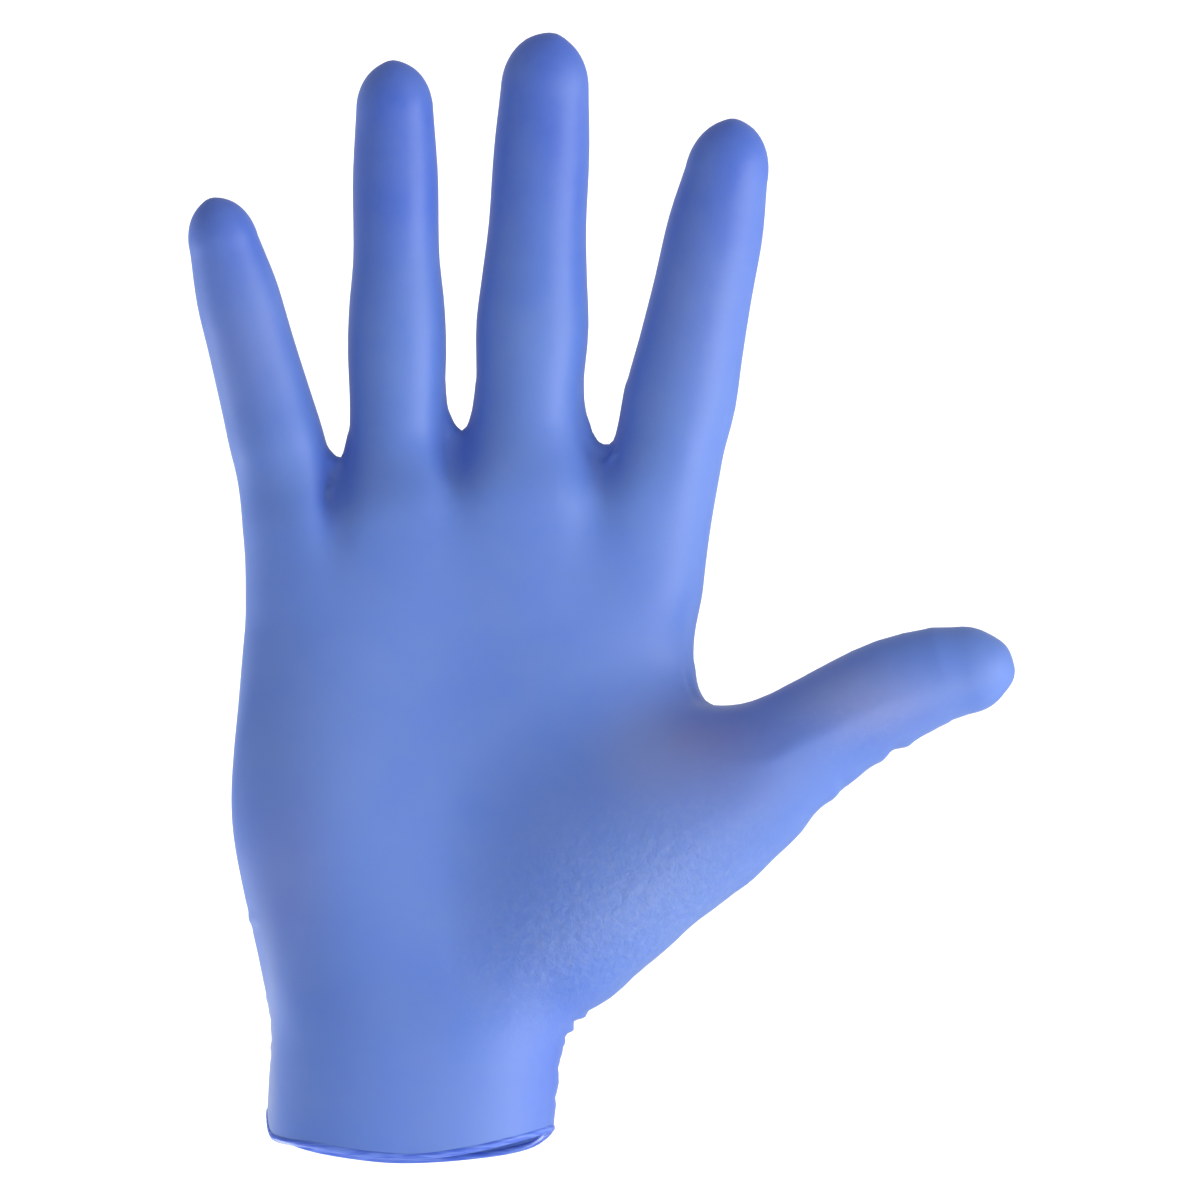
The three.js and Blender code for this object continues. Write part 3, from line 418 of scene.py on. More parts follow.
class GloveForm:
    """The glove's outer face as the zero of a field, which is negative inside and about the
    distance outside. It smoothly joins a trunk, five digits and the webs."""

    # Blends, reaches, thicknesses, drops and radii in millimetres, the rest in shares
    section_power = 2.35
    finger_blend = 4.0
    palm_blend = 9.0
    wrist_blend = 5.0
    thumb_web_blend = 21.0
    thumb_blend_rise = 0.5
    web_thickness = 12.0
    little_web_drop = 4.6
    little_web_across = 0.6
    web_blend = 1.2
    web_radius = 3.0
    web_reach = 16.0
    tip_length = 0.5
    relief_depth = 0.3
    samples = 26
    halvings = 24
    face_reach = 60.0
    wrist_reach = 90.0

    def __init__(self, sizes):
        self.cuff_length = sizes.cuff_length / MM
        self.palm_length = sizes.palm_length / MM
        self.palm_breadth = sizes.palm_breadth / MM
        self.palm_thickness = sizes.palm_thickness / MM
        self.web_level = self.cuff_length + self.palm_length
        cuff = (self.cuff_length, sizes.cuff_breadth / MM, sizes.cuff_thickness / MM)
        palm = (self.palm_length, self.palm_breadth, self.palm_thickness)
        parts = ((0, cuff, CUFF_SECTIONS), (self.cuff_length, palm, PALM_SECTIONS))
        self.trunk_rows = [
            (start + up * high, little * broad, thumb * broad, front * deep, back * deep)
            for start, (high, broad, deep), rows in parts
            for up, little, thumb, front, back in rows
        ]
        self.digits = [self.finger(finger) for finger in FINGERS.values()]
        self.thumb = self.thumb_digit()

    def trunk_section(self, z):
        """Centre, half breadth and half depth of the trunk at a height."""
        heights, *reaches = zip(*self.trunk_rows)
        little, thumb, palm, back = (curve_through(heights, reach, z) for reach in reaches)
        return (thumb - little) / 2, (back - palm) / 2, (little + thumb) / 2, (palm + back) / 2

    def digit(self, breadth, places, wide, thick, centre_at):
        """A digit's sections and their directions at even places along its centre line."""
        nudge = (places[-1] - places[0]) / 100
        at = np.linspace(places[0], places[-1], self.samples)
        centre, ahead, behind = (
            np.stack(centre_at(np.clip(at + step, places[0], places[-1])), axis=-1)
            for step in (0, nudge, -nudge)
        )
        along = unit(ahead - behind)
        side = unit(np.cross([0.0, 1.0, 0.0], along))
        return {
            "centre": centre,
            "along": along,
            "side": side,
            "face": np.cross(along, side),
            "wide": curve_through(places, wide, at) * breadth,
            "thick": curve_through(places, thick, at) * breadth,
            "tip": self.tip_length * breadth,
        }

    def finger(self, finger):
        lean = math.radians(finger["lean"])

        def centre_at(at):
            bend = np.maximum(at, 0)
            return (
                finger["root"] * self.palm_breadth + at * finger["length"] * math.sin(lean),
                -finger["curl"] * bend * bend,
                self.web_level + at * finger["length"] * math.cos(lean),
            )

        places, wide, thick = zip(*finger["rows"])
        return self.digit(finger["breadth"], places, wide, thick, centre_at)

    def thumb_digit(self):
        rows = np.array(THUMB["rows"])
        steps = np.hypot(np.diff(rows[:, 0]) * THUMB["reach"], np.diff(rows[:, 1]) * THUMB["rise"])
        places = np.concatenate([[0], np.cumsum(steps)]) / steps.sum()

        def centre_at(at):
            return (
                curve_through(places, rows[:, 0], at) * THUMB["reach"],
                -curve_through(places, rows[:, 2], at) * THUMB["forward"],
                self.cuff_length + curve_through(places, rows[:, 1], at) * THUMB["rise"],
            )

        return self.digit(THUMB["breadth"], places, rows[:, 3], rows[:, 4], centre_at)

    def trunk_field(self, p):
        """Field of the cuff and the palm, closed by a lid at the webs."""
        x, y, half_breadth, half_depth = self.trunk_section(p[:, 2])
        side = smooth_step(x - p[:, 0], 0, self.little_web_across * half_breadth)
        top = self.web_level - self.little_web_drop * side
        lid = np.maximum((p[:, 2] - top + self.web_thickness) / self.web_thickness, 0)
        u = np.abs(p[:, 0] - x) / half_breadth
        v = np.abs(p[:, 1] - y) / half_depth
        n = self.section_power
        k = np.maximum((u**n + v**n + lid**n) ** (1 / n), 0.05)
        slope = np.sqrt(
            ((u / k) ** (n - 1) / half_breadth) ** 2
            + ((v / k) ** (n - 1) / half_depth) ** 2
            + ((lid / k) ** (n - 1) / self.web_thickness) ** 2
        )
        return (k - 1) / np.maximum(slope, 1 / half_depth / 4) - self.relief(p)

    def relief(self, p):
        """How far swells and hollows lift the trunk's face."""
        lift = np.zeros(len(p))
        facing = smooth_step(np.abs(p[:, 1]), 0, self.relief_depth * self.palm_thickness)
        for face, across, up, wide, tall, height in RELIEF:
            a = (p[:, 0] - across * self.palm_breadth) / (wide * self.palm_thickness)
            b = (p[:, 2] - self.cuff_length - up * self.palm_length) / (tall * self.palm_thickness)
            swell = height * self.palm_thickness * facing * np.exp(-a * a - b * b)
            lift += np.where(np.sign(p[:, 1]) == face, swell, 0)
        return lift

    def digit_field(self, digit, p):
        """Field of a digit, from the ellipse at the nearest place of its centre line."""
        centre = digit["centre"]
        room = digit["tip"] + self.thumb_web_blend
        near = np.all((p > centre.min(0) - room) & (p < centre.max(0) + room), axis=1)
        field = np.full(len(p), FAR)
        q = p[near]
        if not len(q):
            return field
        _, index, share = nearest_on_path(q, centre)

        def between(key):
            a, b = digit[key][index], digit[key][index + 1]
            return a + (b - a) * (share[:, None] if a.ndim == 2 else share)

        offset = q - between("centre")
        wide, thick = between("wide"), between("thick")
        u = np.sum(offset * unit(between("side")), axis=1) / wide
        v = np.sum(offset * unit(between("face")), axis=1) / thick
        w = np.sum(offset * unit(between("along")), axis=1) / digit["tip"]
        k = np.sqrt(u * u + v * v + w * w)
        slope = np.sqrt((u / wide) ** 2 + (v / thick) ** 2 + (w / digit["tip"]) ** 2)
        # On the centre line itself the slope says nothing
        level = k * (k - 1) / np.maximum(slope, 1e-9)
        field[near] = np.where(k < 0.05, -np.minimum(wide, thick), level)
        return field

    def web_field(self, p):
        """Distance to the rods that draw the webs."""
        field = np.full(len(p), FAR)
        near = np.abs(p[:, 2] - self.web_level) < self.web_reach
        for path in WEB_PATHS:
            path = np.array([(x, 0.0, z) for x, z in path])
            rod = nearest_on_path(p[near], path)[0] - self.web_radius
            field[near] = np.minimum(field[near], rod)
        return field

    def field(self, p):
        fingers = self.digit_field(self.digits[0], p)
        for digit in self.digits[1:]:
            fingers = smooth_min(fingers, self.digit_field(digit, p), self.finger_blend)
        body = smooth_min(fingers, self.trunk_field(p), self.palm_blend)
        body = smooth_min(body, self.web_field(p), self.web_blend)
        blend_top = self.cuff_length + self.thumb_blend_rise * self.palm_length
        rise = smooth_step(p[:, 2], self.cuff_length, blend_top)
        blend = self.wrist_blend + (self.thumb_web_blend - self.wrist_blend) * rise
        return smooth_min(body, self.digit_field(self.thumb, p), blend)

    def rim_height(self, level, x, y):
        """How far the rim's waves lift a point of the cuff."""
        centre, _, half_breadth, _ = self.trunk_section(level)
        across = np.clip((x - centre) / half_breadth, -1, 1)
        palm, back = (curve_through(*zip(*RIM_LINES[face]), across) for face in (-1, 1))
        share = 1 - smooth_step(level, 0, self.cuff_length)
        return np.where(y < 0, palm, back) * share

    def film_between(self, inside, outside):
        """The film's point between one inside it and one outside, found by halving."""
        for _ in range(self.halvings):
            middle = (inside + outside) / 2
            if self.field(middle[None])[0] < 0:
                inside = middle
            else:
                outside = middle
        return (inside + outside) / 2

    def on_face(self, x, z, face):
        """The film's point straight in front of or behind a place."""
        y = self.trunk_section(np.array([z]))[1][0]
        return self.film_between(np.array([x, y, z]), np.array([x, face * self.face_reach, z]))

    def round_wrist(self, z, side, angle):
        """The film's point at a height, some degrees from a side of the wrist to its back."""
        x, y, _, _ = (v[0] for v in self.trunk_section(np.array([z])))
        turn = math.radians(angle)
        ray = np.array([side * math.cos(turn), math.sin(turn), 0.0])
        middle = np.array([x, y, z])
        return self.film_between(middle, middle + self.wrist_reach * ray)


# ---- Film: a mesh laid on the zero of the field ----


def sample(form, low, counts, grain):
    """The field on a grid, worked out only near its zero."""
    coarse, cells_trusted, chunk = 4, 3.2, 200000
    small = [n // coarse + 2 for n in counts]
    axes = [low[a] + grain * coarse * np.arange(small[a]) for a in range(3)]
    grid = np.stack(np.meshgrid(*axes, indexing="ij"), axis=-1)
    rough = form.field(grid.reshape(-1, 3)).reshape(small)
    for a in range(3):
        rough = np.repeat(rough, coarse, axis=a)
    shift = coarse // 2
    rough = np.pad(rough, [(shift, 0)] * 3, mode="edge")
    values = rough[: counts[0], : counts[1], : counts[2]].copy()
    near = np.abs(values) < cells_trusted * coarse * grain
    index = np.argwhere(near)
    found = np.empty(len(index))
    for start in range(0, len(index), chunk):
        part = slice(start, start + chunk)
        found[part] = form.field(low + grain * index[part])
    values[near] = found
    return values


def surface(values, low, grain):
    """Points and four-sided faces on the zero of a grid, one point for each cell it crosses."""
    counts = values.shape
    inside = values < 0
    corner_sum = np.zeros([n - 1 for n in counts], int)
    for corner in np.ndindex(2, 2, 2):
        corner_sum += inside[tuple(slice(d, n - 1 + d) for d, n in zip(corner, counts))]
    crossed = (corner_sum > 0) & (corner_sum < 8)
    cells = np.argwhere(crossed)
    number = np.full(crossed.shape, -1)
    number[crossed] = np.arange(len(cells))
    total = np.zeros((len(cells), 3))
    edges = np.zeros(len(cells))
    for axis in range(3):
        step = np.eye(3, dtype=int)[axis]
        b, c = [(axis + 1) % 3, (axis + 2) % 3]
        for db, dc in np.ndindex(2, 2):
            start = cells.copy()
            start[:, b] += db
            start[:, c] += dc
            first = values[tuple(start.T)]
            second = values[tuple((start + step).T)]
            cut = (first < 0) != (second < 0)
            t = np.where(cut, first / np.where(cut, first - second, 1), 0)
            total += np.where(cut[:, None], start + t[:, None] * step, 0)
            edges += cut
    points = low + grain * total / edges[:, None]
    quads = []
    for axis in range(3):
        b, c = [(axis + 1) % 3, (axis + 2) % 3]
        here = np.moveaxis(inside, [axis, b, c], [0, 1, 2])
        ids = np.moveaxis(number, [axis, b, c], [0, 1, 2])
        first, second = here[:-1, 1:-1, 1:-1], here[1:, 1:-1, 1:-1]
        for leaving in (True, False):
            i, j, k = np.nonzero((first & ~second) if leaving else (~first & second))
            loop = [ids[i, j, k], ids[i, j + 1, k], ids[i, j + 1, k + 1], ids[i, j, k + 1]]
            quads.append(np.stack(loop if leaving else loop[::-1], axis=1))
    return points, np.concatenate(quads)


def quad_edges(quads):
    """The four edges of each face."""
    return np.concatenate([quads[:, [k, (k + 1) % 4]] for k in range(4)])


def rim_points(quads, count):
    """Marks the points on the open edge of a mesh, and gives that edge's pieces."""
    key = np.sort(quad_edges(quads), axis=1)
    found, times = np.unique(key[:, 0] * count + key[:, 1], return_counts=True)
    open_edges = found[times == 1]
    pieces = np.stack([open_edges // count, open_edges % count], axis=1)
    marked = np.zeros(count, bool)
    marked[pieces] = True
    return marked, pieces


def point_normals(points, quads):
    """The outward direction at each point."""
    a, b, c, d = points[quads.T]
    face = np.cross(c - a, d - b)
    normals = np.zeros_like(points)
    for k in range(4):
        np.add.at(normals, quads[:, k], face)
    return unit(normals)


def even_out(form, points, quads, offset, rounds):
    """Spreads the points evenly over the film and settles them on it."""
    count = len(points)
    on_rim, _ = rim_points(quads, count)
    a, b = quad_edges(quads).T
    times = np.bincount(a, minlength=count) + np.bincount(b, minlength=count)
    ease = 0.7
    for _ in range(rounds):
        total = [np.bincount(a, p[b], count) + np.bincount(b, p[a], count) for p in points.T]
        normals = point_normals(points, quads)
        move = np.stack(total, axis=1) / times[:, None] - points
        move -= normals * np.sum(move * normals, axis=1, keepdims=True)
        points = np.where(on_rim[:, None], points, points + ease * move)
        settle = -(form.field(points) + offset)[:, None] * normals
        settle[on_rim, 2] = 0
        points = points + settle
    return points


def wave_rim(form, points, quads):
    """Lifts the cuff from flat levels to the rim's waving line."""
    on_rim, _ = rim_points(quads, len(points))
    level = np.where(on_rim, 0.0, points[:, 2])
    lift = form.rim_height(level, points[:, 0], points[:, 1])
    lifted = points.copy()
    lifted[:, 2] = level + np.where(level < form.cuff_length, lift, 0)
    return lifted


def film_side(form, grain, offset, rounds):
    """One side of the film: its outer face, or its inner one at an offset."""
    low = np.array([*BOX_LOW, -grain / 2])
    counts = tuple(int(n) for n in np.ceil((np.array(BOX_HIGH) - low) / grain))
    values = sample(form, low, counts, grain) + offset
    points, quads = surface(values, low, grain)
    points = wave_rim(form, points, quads)
    return even_out(form, points, quads, offset, rounds), quads


def run_along(path):
    """The distance along a path at each of its points."""
    return np.concatenate([[0], np.cumsum(np.linalg.norm(np.diff(path, axis=0), axis=1))])


def smooth_path(path, pieces=6):
    """A finer path on a smooth curve through the given points."""
    path = np.asarray(path, float)
    run = run_along(path)
    at = np.linspace(0, run[-1], pieces * (len(path) - 1) + 1)
    return np.stack([curve_through(run, path[:, axis], at) for axis in range(3)], axis=1)


def spot(points, x, y, z, wide, tall, strength, least_deep=14):
    """How much a soft patch covers each point."""
    offset = (points - np.array([x, y, z])) / np.array([wide, max(wide, least_deep), tall])
    return strength * np.exp(-np.sum(offset * offset, axis=1))


def fold_moves(form, points, depth):
    """How far folds and wrinkles move each point out of the film."""
    move = np.zeros(len(points))

    def add(path, wide, deep, sharp):
        room = 6 * wide
        near = np.all((points > path.min(0) - room) & (points < path.max(0) + room), axis=1)
        if not near.any():
            return
        distance, index, share = nearest_on_path(points[near], path)
        run = run_along(path)
        place = (run[index] + share * (run[index + 1] - run[index])) / run[-1]
        # A fold starts quickly and fades slowly along its path
        ends = smooth_step(place, -0.1, 0.3) * (1 - smooth_step(place, 0.35, 1))
        away = distance / wide
        if sharp:
            shape = np.exp(-away) * (1 - smooth_step(away, 3, 6))
        else:
            # A round valley between two low lips
            shape = np.exp(-(away**2)) - 0.35 * np.exp(-((away - 2.1) ** 2))
        move[near] -= deep * ends * shape

    for face, wide, deep, sharp, path in FACE_FOLDS:
        line = [form.on_face(x, z, face) for x, z in path]
        add(smooth_path(line), wide, deep * depth, sharp)
    for side, up, palm, back, wide, deep in WRIST_WRINKLES:
        angles = np.linspace(-palm, back, 7)
        bow = 0.05 * up * (angles / 60) ** 2
        line = [form.round_wrist(up - b, side, a) for a, b in zip(angles, bow)]
        add(smooth_path(line, 2), wide, deep * depth, False)
    for *patch, lift in LIFTS:
        move += spot(points, *patch, lift * depth, least_deep=5)
    return move


def low_waves(points):
    """Faint unevenness of the film, some centimetres long."""
    x, y, z = points.T
    return (
        0.05 * np.sin(x / 7.3 + 0.6 * np.sin(z / 11.0)) * np.sin(z / 9.1 + 0.4)
        + 0.04 * np.sin((x + 2 * z) / 13.0 + y / 9.0)
    )


# Soft patches of another tint, laid on in this order: painted shade on the fingertips, the thumb's
# top, the crotches and the cuff's right flank, painted light on the palm's lower left, the ball of
# the thumb and the hollow by its root, a violet blush where the film is thin and warm, and pale
# loose film along
# free edges with painted light on it: colour, place, breadth and height in millimetres, strength
PAINTED_SHADE_AND_TINTS = [
    # Painted shade on the fingertips, which face up, away from the lamps
    ("deep_colour", -39, -6, 186, 12, 16, 0.8),
    ("deep_colour", -3, -8, 204, 13, 28, 0.9),
    ("deep_colour", 28, -8, 208, 14, 28, 0.8),
    ("deep_colour", 64, -6, 194, 14, 26, 0.7),
    ("deep_colour", -39, -8, 191, 8, 4, 0.8),
    ("deep_colour", -3, -8, 218, 9, 5, 0.8),
    ("deep_colour", 28, -8, 223, 9, 5, 0.8),
    ("deep_colour", 64, -8, 206, 9, 5, 0.8),
    # Painted shade on the top of the thumb, which faces away from the lamps
    ("deep_colour", 80, -16, 93, 16, 6, 0.35),
    ("deep_colour", 72, -16, 84.5, 13, 7, 0.6),
    # Painted shade in the crotches between the fingers
    ("deep_colour", -14, -10, 139, 4, 8, 0.6),
    ("deep_colour", -16.2, -12, 131, 1.8, 8, 0.7),
    ("deep_colour", 10, -10, 142, 4, 7, 0.6),
    ("deep_colour", 40, -10, 141, 4, 7, 0.6),
    # Painted shade low on the cuff's right flank
    ("deep_colour", 28, -6, 14, 9, 22, 0.6),
    # Painted light on the palm's lower left and on the ball of the thumb
    ("taut_colour", -16, -16, 76, 14, 26, 0.5),
    ("taut_colour", 52, -18, 52, 22, 16, 0.7),
    # Painted shade on the little finger's tip
    ("deep_colour", -39, -8, 192.5, 8, 2.5, 0.6),
    ("blush_colour", 60, -16, 79, 14, 11, 0.75),
    # Painted light that lifts the shade in the hollow beside the thumb's root
    ("veil_colour", 48, -16, 80, 10, 11, 0.2),
    ("blush_colour", 90, -24, 90, 13, 7, 0.55),
    ("blush_colour", -32, -12, 160, 9, 14, 0.25),
    ("blush_colour", 56, -13, 170, 9, 20, 0.15),
    ("blush_colour", -24, -14, 54, 8, 16, 0.3),
    ("veil_colour", 88, -24, 91, 13, 6, 0.22),
    # Pale lines of loose film along the free edges of the thumb's web and of the cuff, partly
    # painted light on these edges
    ("veil_colour", 63, -8, 89.2, 6, 1.2, 0.5),
    ("veil_colour", -28.0, -4, 18, 1.6, 20, 0.6),
]

# Patches of fine crinkles: place, breadth and height in millimetres, strength
CRINKLES = [
    (50, -20, 52, 24, 18, 1.0),
    (30, -20, 38, 18, 14, 0.7),
    (90, -26, 86, 14, 9, 0.35),
]


def new_mesh(name, points, faces):
    """A Blender object from points in millimetres and faces."""
    mesh = bpy.data.meshes.new(name)
    mesh.from_pydata((np.asarray(points) * MM).tolist(), [], np.asarray(faces).tolist())
    if mesh.validate(verbose=False):
        raise RuntimeError(f"{name} had faces that don't close up")
    mesh.shade_smooth()
    item = bpy.data.objects.new(name, mesh)
    bpy.context.scene.collection.objects.link(item)
    return item


def add_node(tree, kind, links, values=None, **settings):
    """Adds a node with its settings, links into it and values of its other sockets."""
    item = tree.nodes.new("ShaderNode" + kind)
    for key, value in settings.items():
        setattr(item, key, value)
    for key, value in (values or {}).items():
        item.inputs[key].default_value = value
    for key, socket in links.items():
        tree.links.new(socket, item.inputs[key])
    return item


def empty_material(name):
    material = bpy.data.materials.new(name)
    material.use_nodes = True
    tree = material.node_tree
    tree.nodes.clear()
    return material, tree


def rgba(colour):
    return (*colour, 1.0)


def dipped_nitrile(sizes):
    """Nitrile film dipped on a former and worn taut: a satin face with a soft sheen, paler and more
    violet where it is stretched thin, with painted shade on the tips, the crotches and the thumb's
    top and painted light on its lit faces and free edges, crinkled at the thumb."""
    material, tree = empty_material("dipped_nitrile_film")
    place = add_node(tree, "TexCoord", {}).outputs["Object"]
    crinkled = add_node(tree, "Attribute", {}, attribute_name="crinkle").outputs["Fac"]
    # Cloudy colour about 14 mm across, from the uneven thickness of the dip
    clouds = add_node(
        tree, "TexNoise", {"Vector": place}, {"Scale": 70.0, "Detail": 3.0, "Roughness": 0.55}
    ).outputs["Fac"]
    clouds = add_node(
        tree, "MapRange", {"Value": clouds},
        {"From Min": 0.35, "From Max": 0.65, "To Min": 0.0, "To Max": 0.35},
    ).outputs["Result"]
    # The tint layer carries the blush, the painted shade and the painted light
    tint = add_node(tree, "Attribute", {}, attribute_name="tint").outputs["Color"]
    colour = add_node(
        tree, "Mix", {"Factor": clouds, 6: tint}, {7: rgba(sizes.taut_colour)}, data_type="RGBA"
    ).outputs[2]
    # Mottles about 1.5 mm across, as fine as they can show, where the film crinkles
    mottle = add_node(
        tree, "TexNoise", {"Vector": place}, {"Scale": 700.0, "Detail": 3.0, "Roughness": 0.65}
    ).outputs["Fac"]
    mottle = add_node(
        tree, "MapRange", {"Value": mottle},
        {"From Min": 0.46, "From Max": 0.66, "To Min": 0.0, "To Max": 0.13},
    ).outputs["Result"]
    mottle = add_node(tree, "Math", {0: mottle, 1: crinkled}, operation="MULTIPLY").outputs[0]
    colour = add_node(
        tree, "Mix", {"Factor": mottle, 6: colour}, {7: rgba(sizes.veil_colour)}, data_type="RGBA"
    ).outputs[2]
    # Short crinkles about 2 mm apart
    crinkles = add_node(
        tree, "TexNoise", {"Vector": place},
        {"Scale": 430.0, "Detail": 3.0, "Roughness": 0.6, "Distortion": 0.3},
    ).outputs["Fac"]
    crinkles = add_node(tree, "Math", {0: crinkles, 1: crinkled}, operation="MULTIPLY").outputs[0]
    # Grain of the dip about 0.5 mm across, drawn coarser than the real one so that it shows
    grain = add_node(
        tree, "TexNoise", {"Vector": place}, {"Scale": 1500.0, "Detail": 2.0, "Roughness": 0.5}
    ).outputs["Fac"]
    grain_bump = add_node(
        tree, "Bump", {"Height": grain}, {"Strength": 0.12, "Distance": 0.05 * MM}
    ).outputs["Normal"]
    bump = add_node(
        tree, "Bump", {"Height": crinkles, "Normal": grain_bump},
        {"Strength": 0.9, "Distance": 0.4 * MM},
    ).outputs["Normal"]
    rough = add_node(
        tree, "MapRange", {"Value": clouds},
        {"From Min": 0.0, "From Max": 0.35, "To Min": 0.42, "To Max": 0.5},
    ).outputs["Result"]
    shader = add_node(
        tree, "BsdfPrincipled",
        {"Base Color": colour, "Roughness": rough, "Normal": bump},
        {
            "IOR": 1.5, "Sheen Weight": 0.06, "Sheen Roughness": 0.5,
            "Subsurface Weight": 0.25, "Subsurface Radius": (0.35, 0.6, 1.6),
            "Subsurface Scale": 1.2 * MM,
        },
    )
    add_node(tree, "OutputMaterial", {"Surface": shader.outputs[0]})
    return material


def rolled_nitrile(bead):
    """The same film rolled on itself in several layers: deeper blue, glossier on its round back,
    with faint lines along the roll."""
    material, tree = empty_material("rolled_nitrile_film")
    place = add_node(tree, "TexCoord", {}).outputs["Object"]
    # Lines of the roll about 0.4 mm apart, as fine as they can show
    lines = add_node(
        tree, "Mapping", {"Vector": place}, {"Scale": (0.1, 0.1, 1.0)}
    ).outputs["Vector"]
    lines = add_node(
        tree, "TexNoise", {"Vector": lines}, {"Scale": 1700.0, "Detail": 1.0}
    ).outputs["Fac"]
    streaks = add_node(
        tree, "MapRange", {"Value": lines}, {"From Min": 0.4, "From Max": 0.62}
    ).outputs["Result"]
    colour = add_node(
        tree, "Mix", {"Factor": streaks}, {6: rgba(bead.colour), 7: rgba(linear("#6686E2"))},
        data_type="RGBA",
    ).outputs[2]
    bump = add_node(
        tree, "Bump", {"Height": lines}, {"Strength": 0.4, "Distance": 0.15 * MM}
    ).outputs["Normal"]
    shader = add_node(
        tree, "BsdfPrincipled", {"Base Color": colour, "Normal": bump},
        {
            "Roughness": 0.36, "IOR": 1.5, "Subsurface Weight": 0.2,
            "Subsurface Radius": (0.35, 0.6, 1.6), "Subsurface Scale": 1.0 * MM,
        },
    )
    add_node(tree, "OutputMaterial", {"Surface": shader.outputs[0]})
    return material


def rim_loop(points, quads):
    """The points of the rim in their order round the wrist."""
    _, edges = rim_points(quads, len(points))
    after = {}
    for a, b in edges.tolist():
        after.setdefault(a, []).append(b)
        after.setdefault(b, []).append(a)
    start = int(edges[0, 0])
    loop = [start]
    before, here = None, start
    while True:
        before, here = here, next(n for n in after[here] if n != before)
        if here == start:
            break
        loop.append(here)
    ring = points[loop]
    x, y, _ = ring.T
    turning = np.sum(x * np.roll(y, -1) - np.roll(x, -1) * y)
    return ring if turning > 0 else ring[::-1]


class GLOVE_OT_film(bpy.types.Operator):
    """Lay the dipped film on the form of the glove, outside and inside"""

    bl_idname = "glove.film"
    bl_label = "Dipped film"

    def execute(self, context):
        sizes = context.scene.glove_film
        form = GloveForm(sizes)
        grain = sizes.grain / MM * 1.0
        outer, outer_quads = film_side(form, grain, 0.0, OUTER_ROUNDS)
        inner, inner_quads = film_side(form, INNER_GRAIN, sizes.wall / MM, INNER_ROUNDS)
        # Patches of tint, painted shade and painted light are laid on the outside as it is before
        # its folds
        outer_marks = outer.copy()
        for points, quads in ((outer, outer_quads), (inner, inner_quads)):
            normals = point_normals(points, quads)
            shift = fold_moves(form, points, sizes.fold_depth) + low_waves(points)
            points += normals * shift[:, None]
        points = np.concatenate([outer, inner])
        quads = np.concatenate([outer_quads, inner_quads[:, ::-1] + len(outer)])
        film = new_mesh("dipped_film", points, quads)
        marks = np.concatenate([outer_marks, inner])
        tint = np.tile(np.array(rgba(sizes.film_colour)), (len(marks), 1))
        for colour, *patch in PAINTED_SHADE_AND_TINTS:
            share = spot(marks, *patch)[:, None]
            tint += share * (np.array(rgba(getattr(sizes, colour))) - tint)
        layer = film.data.attributes.new("tint", "FLOAT_COLOR", "POINT")
        layer.data.foreach_set("color", tint.ravel().astype(np.float32))
        crinkled = np.clip(sum(spot(marks, *patch) for patch in CRINKLES), 0, 1)
        layer = film.data.attributes.new("crinkle", "FLOAT", "POINT")
        layer.data.foreach_set("value", crinkled.astype(np.float32))
        film.data.materials.append(dipped_nitrile(sizes))
        film["rim"] = [float(v) for v in rim_loop(outer, outer_quads).ravel()]
        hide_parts(*FILM_NODES)
        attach(film, "root")
        return {"FINISHED"}


class GLOVE_OT_bead(bpy.types.Operator):
    """Roll the film's edge up into its bead"""

    bl_idname = "glove.bead"
    bl_label = "Rolled bead"

    def execute(self, context):
        film = bpy.data.objects.get("dipped_film")
        if film is None:
            raise RuntimeError("the bead is rolled from the film's edge: make the film first")
        sizes = context.scene.glove_bead
        radius = sizes.diameter / MM / 2
        rim = np.array(list(film["rim"])).reshape(-1, 3)
        closed = np.concatenate([rim, rim[:1]])
        run = run_along(closed)
        count, sides, smoothings, inset, drop = 220, 20, 6, 0.3, 0.4
        at = np.linspace(0, run[-1], count + 1)[:-1]
        path = np.stack([np.interp(at, run, closed[:, axis]) for axis in range(3)], axis=1)
        for _ in range(smoothings):
            path = (np.roll(path, 1, axis=0) + 2 * path + np.roll(path, -1, axis=0)) / 4
        along = unit(np.roll(path, -1, axis=0) - np.roll(path, 1, axis=0))
        out = unit(np.cross(along, [0.0, 0.0, 1.0]))
        rise = np.cross(out, along)
        # The roll lies a little inside the film's edge and below it
        centre = path - out * (radius - inset) - rise * drop
        turn = 2 * math.pi * at / run[-1]
        swell = 1 + sizes.unevenness * (
            0.5 * np.sin(3 * turn + 0.7) + 0.3 * np.sin(7 * turn + 2.1) + 0.2 * np.sin(13 * turn)
        )
        points = []
        for k in range(sides):
            angle = 2 * math.pi * k / sides
            # The roll's last layer ends in a small step on the outer face
            layer = 1 + 0.09 * ((k / sides + 0.12) % 1) - 0.05
            reach = (radius * swell * layer)[:, None]
            points.append(centre + reach * (out * math.cos(angle) + rise * 1.05 * math.sin(angle)))
        points = np.stack(points, axis=1).reshape(-1, 3)
        here = np.arange(count * sides).reshape(count, sides)
        ahead = np.roll(here, -1, axis=0)
        corners = [here, ahead, np.roll(ahead, -1, axis=1), np.roll(here, -1, axis=1)]
        bead = new_mesh("rolled_bead", points, np.stack(corners, axis=-1).reshape(-1, 4))
        bead.data.materials.append(rolled_nitrile(sizes))
        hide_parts("cuff_bead")
        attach(bead, "root")
        return {"FINISHED"}


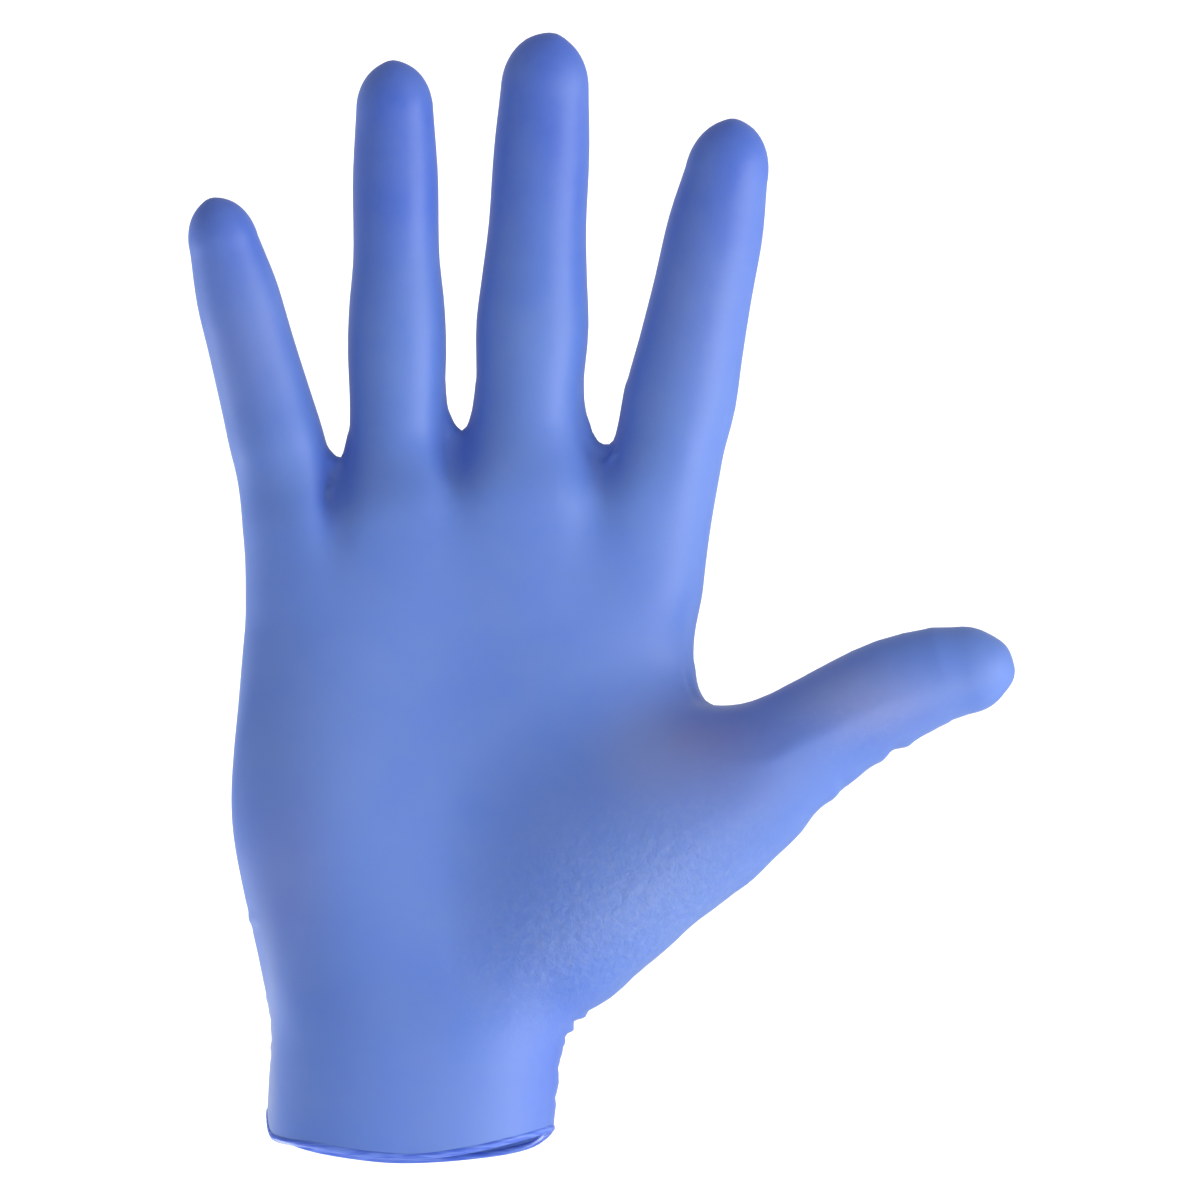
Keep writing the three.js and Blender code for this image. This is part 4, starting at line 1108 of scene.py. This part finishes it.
class GLOVE_OT_stage(bpy.types.Operator):
    """Set the pale sweep, the soft lights and the camera"""

    bl_idname = "glove.stage"
    bl_label = "Plain studio"

    def add_light(self, scene, name, power, side, place, shines):
        light = bpy.data.lights.new(name, "AREA")
        light.energy = power
        light.shape = "SQUARE"
        light.size = side
        item = bpy.data.objects.new(name, light)
        item.location = place
        item.rotation_euler = shines.to_track_quat("-Z", "Y").to_euler()
        item.visible_camera = False
        scene.collection.objects.link(item)

    def execute(self, context):
        stage = context.scene.glove_stage
        scene = context.scene
        # A floor that bends up into a backdrop far behind the glove
        floor_level, wall_place, bend, reach = -3400.0, 4200.0, 1500.0, 9000.0
        profile = [(-reach, floor_level), (wall_place - bend, floor_level)]
        steps = 12
        for k in range(1, steps + 1):
            angle = math.radians(90 * k / steps)
            along, rise = bend * math.sin(angle), bend - bend * math.cos(angle)
            profile.append((wall_place - bend + along, floor_level + rise))
        profile.append((wall_place, reach))
        points = [(x, y, z) for y, z in profile for x in (-reach, reach)]
        faces = [(2 * i, 2 * i + 1, 2 * i + 3, 2 * i + 2) for i in range(len(profile) - 1)]
        sweep = new_mesh("pale_sweep", points, faces)
        material, tree = empty_material("matte_paper_sweep")
        shader = add_node(
            tree, "BsdfPrincipled", {}, {"Base Color": rgba(stage.floor_colour), "Roughness": 0.9}
        )
        add_node(tree, "OutputMaterial", {"Surface": shader.outputs[0]})
        sweep.data.materials.append(material)

        world = bpy.data.worlds.new("white_room")
        world.use_nodes = True
        background = world.node_tree.nodes["Background"]
        background.inputs["Color"].default_value = (1, 1, 1, 1)
        background.inputs["Strength"].default_value = stage.room
        scene.world = world
        scene.view_settings.view_transform = "Standard"

        aim = Vector((0.038, 0.0, 0.110))
        light_reach = 1.6
        # Soft square lights: power, side in metres, turn from the glove's front to the thumb's side
        # and height in degrees
        for name, power, side, turn, height in (
            ("key_light", stage.key_power, 2.4, 84, -18),
            ("low_light", stage.low_power, 0.9, 15, -35),
            ("side_light", stage.side_power, 1.2, 58, -6),
            ("rim_light", stage.rim_power, 0.9, -115, -35),
        ):
            turn, height = math.radians(turn), math.radians(height)
            flat = math.cos(height)
            towards = Vector((math.sin(turn) * flat, -math.cos(turn) * flat, math.sin(height)))
            self.add_light(scene, name, power, side, aim + light_reach * towards, -towards)
        place, backwards = Vector((0.038, 3.2, 0.1)), Vector((0, 1, 0))
        self.add_light(scene, "backdrop_light", stage.backdrop_power, 1.5, place, backwards)

        camera = bpy.data.cameras.new("camera")
        camera.sensor_width = 36.0
        camera.lens = camera.sensor_width * stage.distance / stage.field
        camera.clip_end = 60.0
        item = bpy.data.objects.new("camera", camera)
        item.location = aim - Vector((0, stage.distance, 0))
        item.rotation_euler = (math.radians(90), 0, 0)
        scene.collection.objects.link(item)
        scene.camera = item
        return {"FINISHED"}


class GLOVE_PT_panel(bpy.types.Panel):
    """Sizes, colours and pieces of the exam glove"""

    bl_idname = "GLOVE_PT_panel"
    bl_label = "Exam glove"
    bl_space_type = "VIEW_3D"
    bl_region_type = "UI"
    bl_category = "Exam glove"

    def draw(self, context):
        for title, group, operator in (
            ("Film", context.scene.glove_film, GLOVE_OT_film),
            ("Bead", context.scene.glove_bead, GLOVE_OT_bead),
            ("Studio", context.scene.glove_stage, GLOVE_OT_stage),
        ):
            box = self.layout.box()
            box.label(text=title)
            for name in group.__annotations__:
                box.prop(group, name)
            box.operator(operator.bl_idname)


CLASSES = (
    GloveFilmSizes, GloveBeadSizes, GloveStage,
    GLOVE_OT_film, GLOVE_OT_bead, GLOVE_OT_stage, GLOVE_PT_panel,
)


def register():
    for item in CLASSES:
        bpy.utils.register_class(item)
    bpy.types.Scene.glove_film = bpy.props.PointerProperty(type=GloveFilmSizes)
    bpy.types.Scene.glove_bead = bpy.props.PointerProperty(type=GloveBeadSizes)
    bpy.types.Scene.glove_stage = bpy.props.PointerProperty(type=GloveStage)


def unregister():
    for name in ("glove_stage", "glove_bead", "glove_film"):
        delattr(bpy.types.Scene, name)
    for item in reversed(CLASSES):
        bpy.utils.unregister_class(item)


def main():
    register()
    bpy.ops.glove.film()
    bpy.ops.glove.bead()
    bpy.ops.glove.stage()


if __name__ == "__main__":
    main()
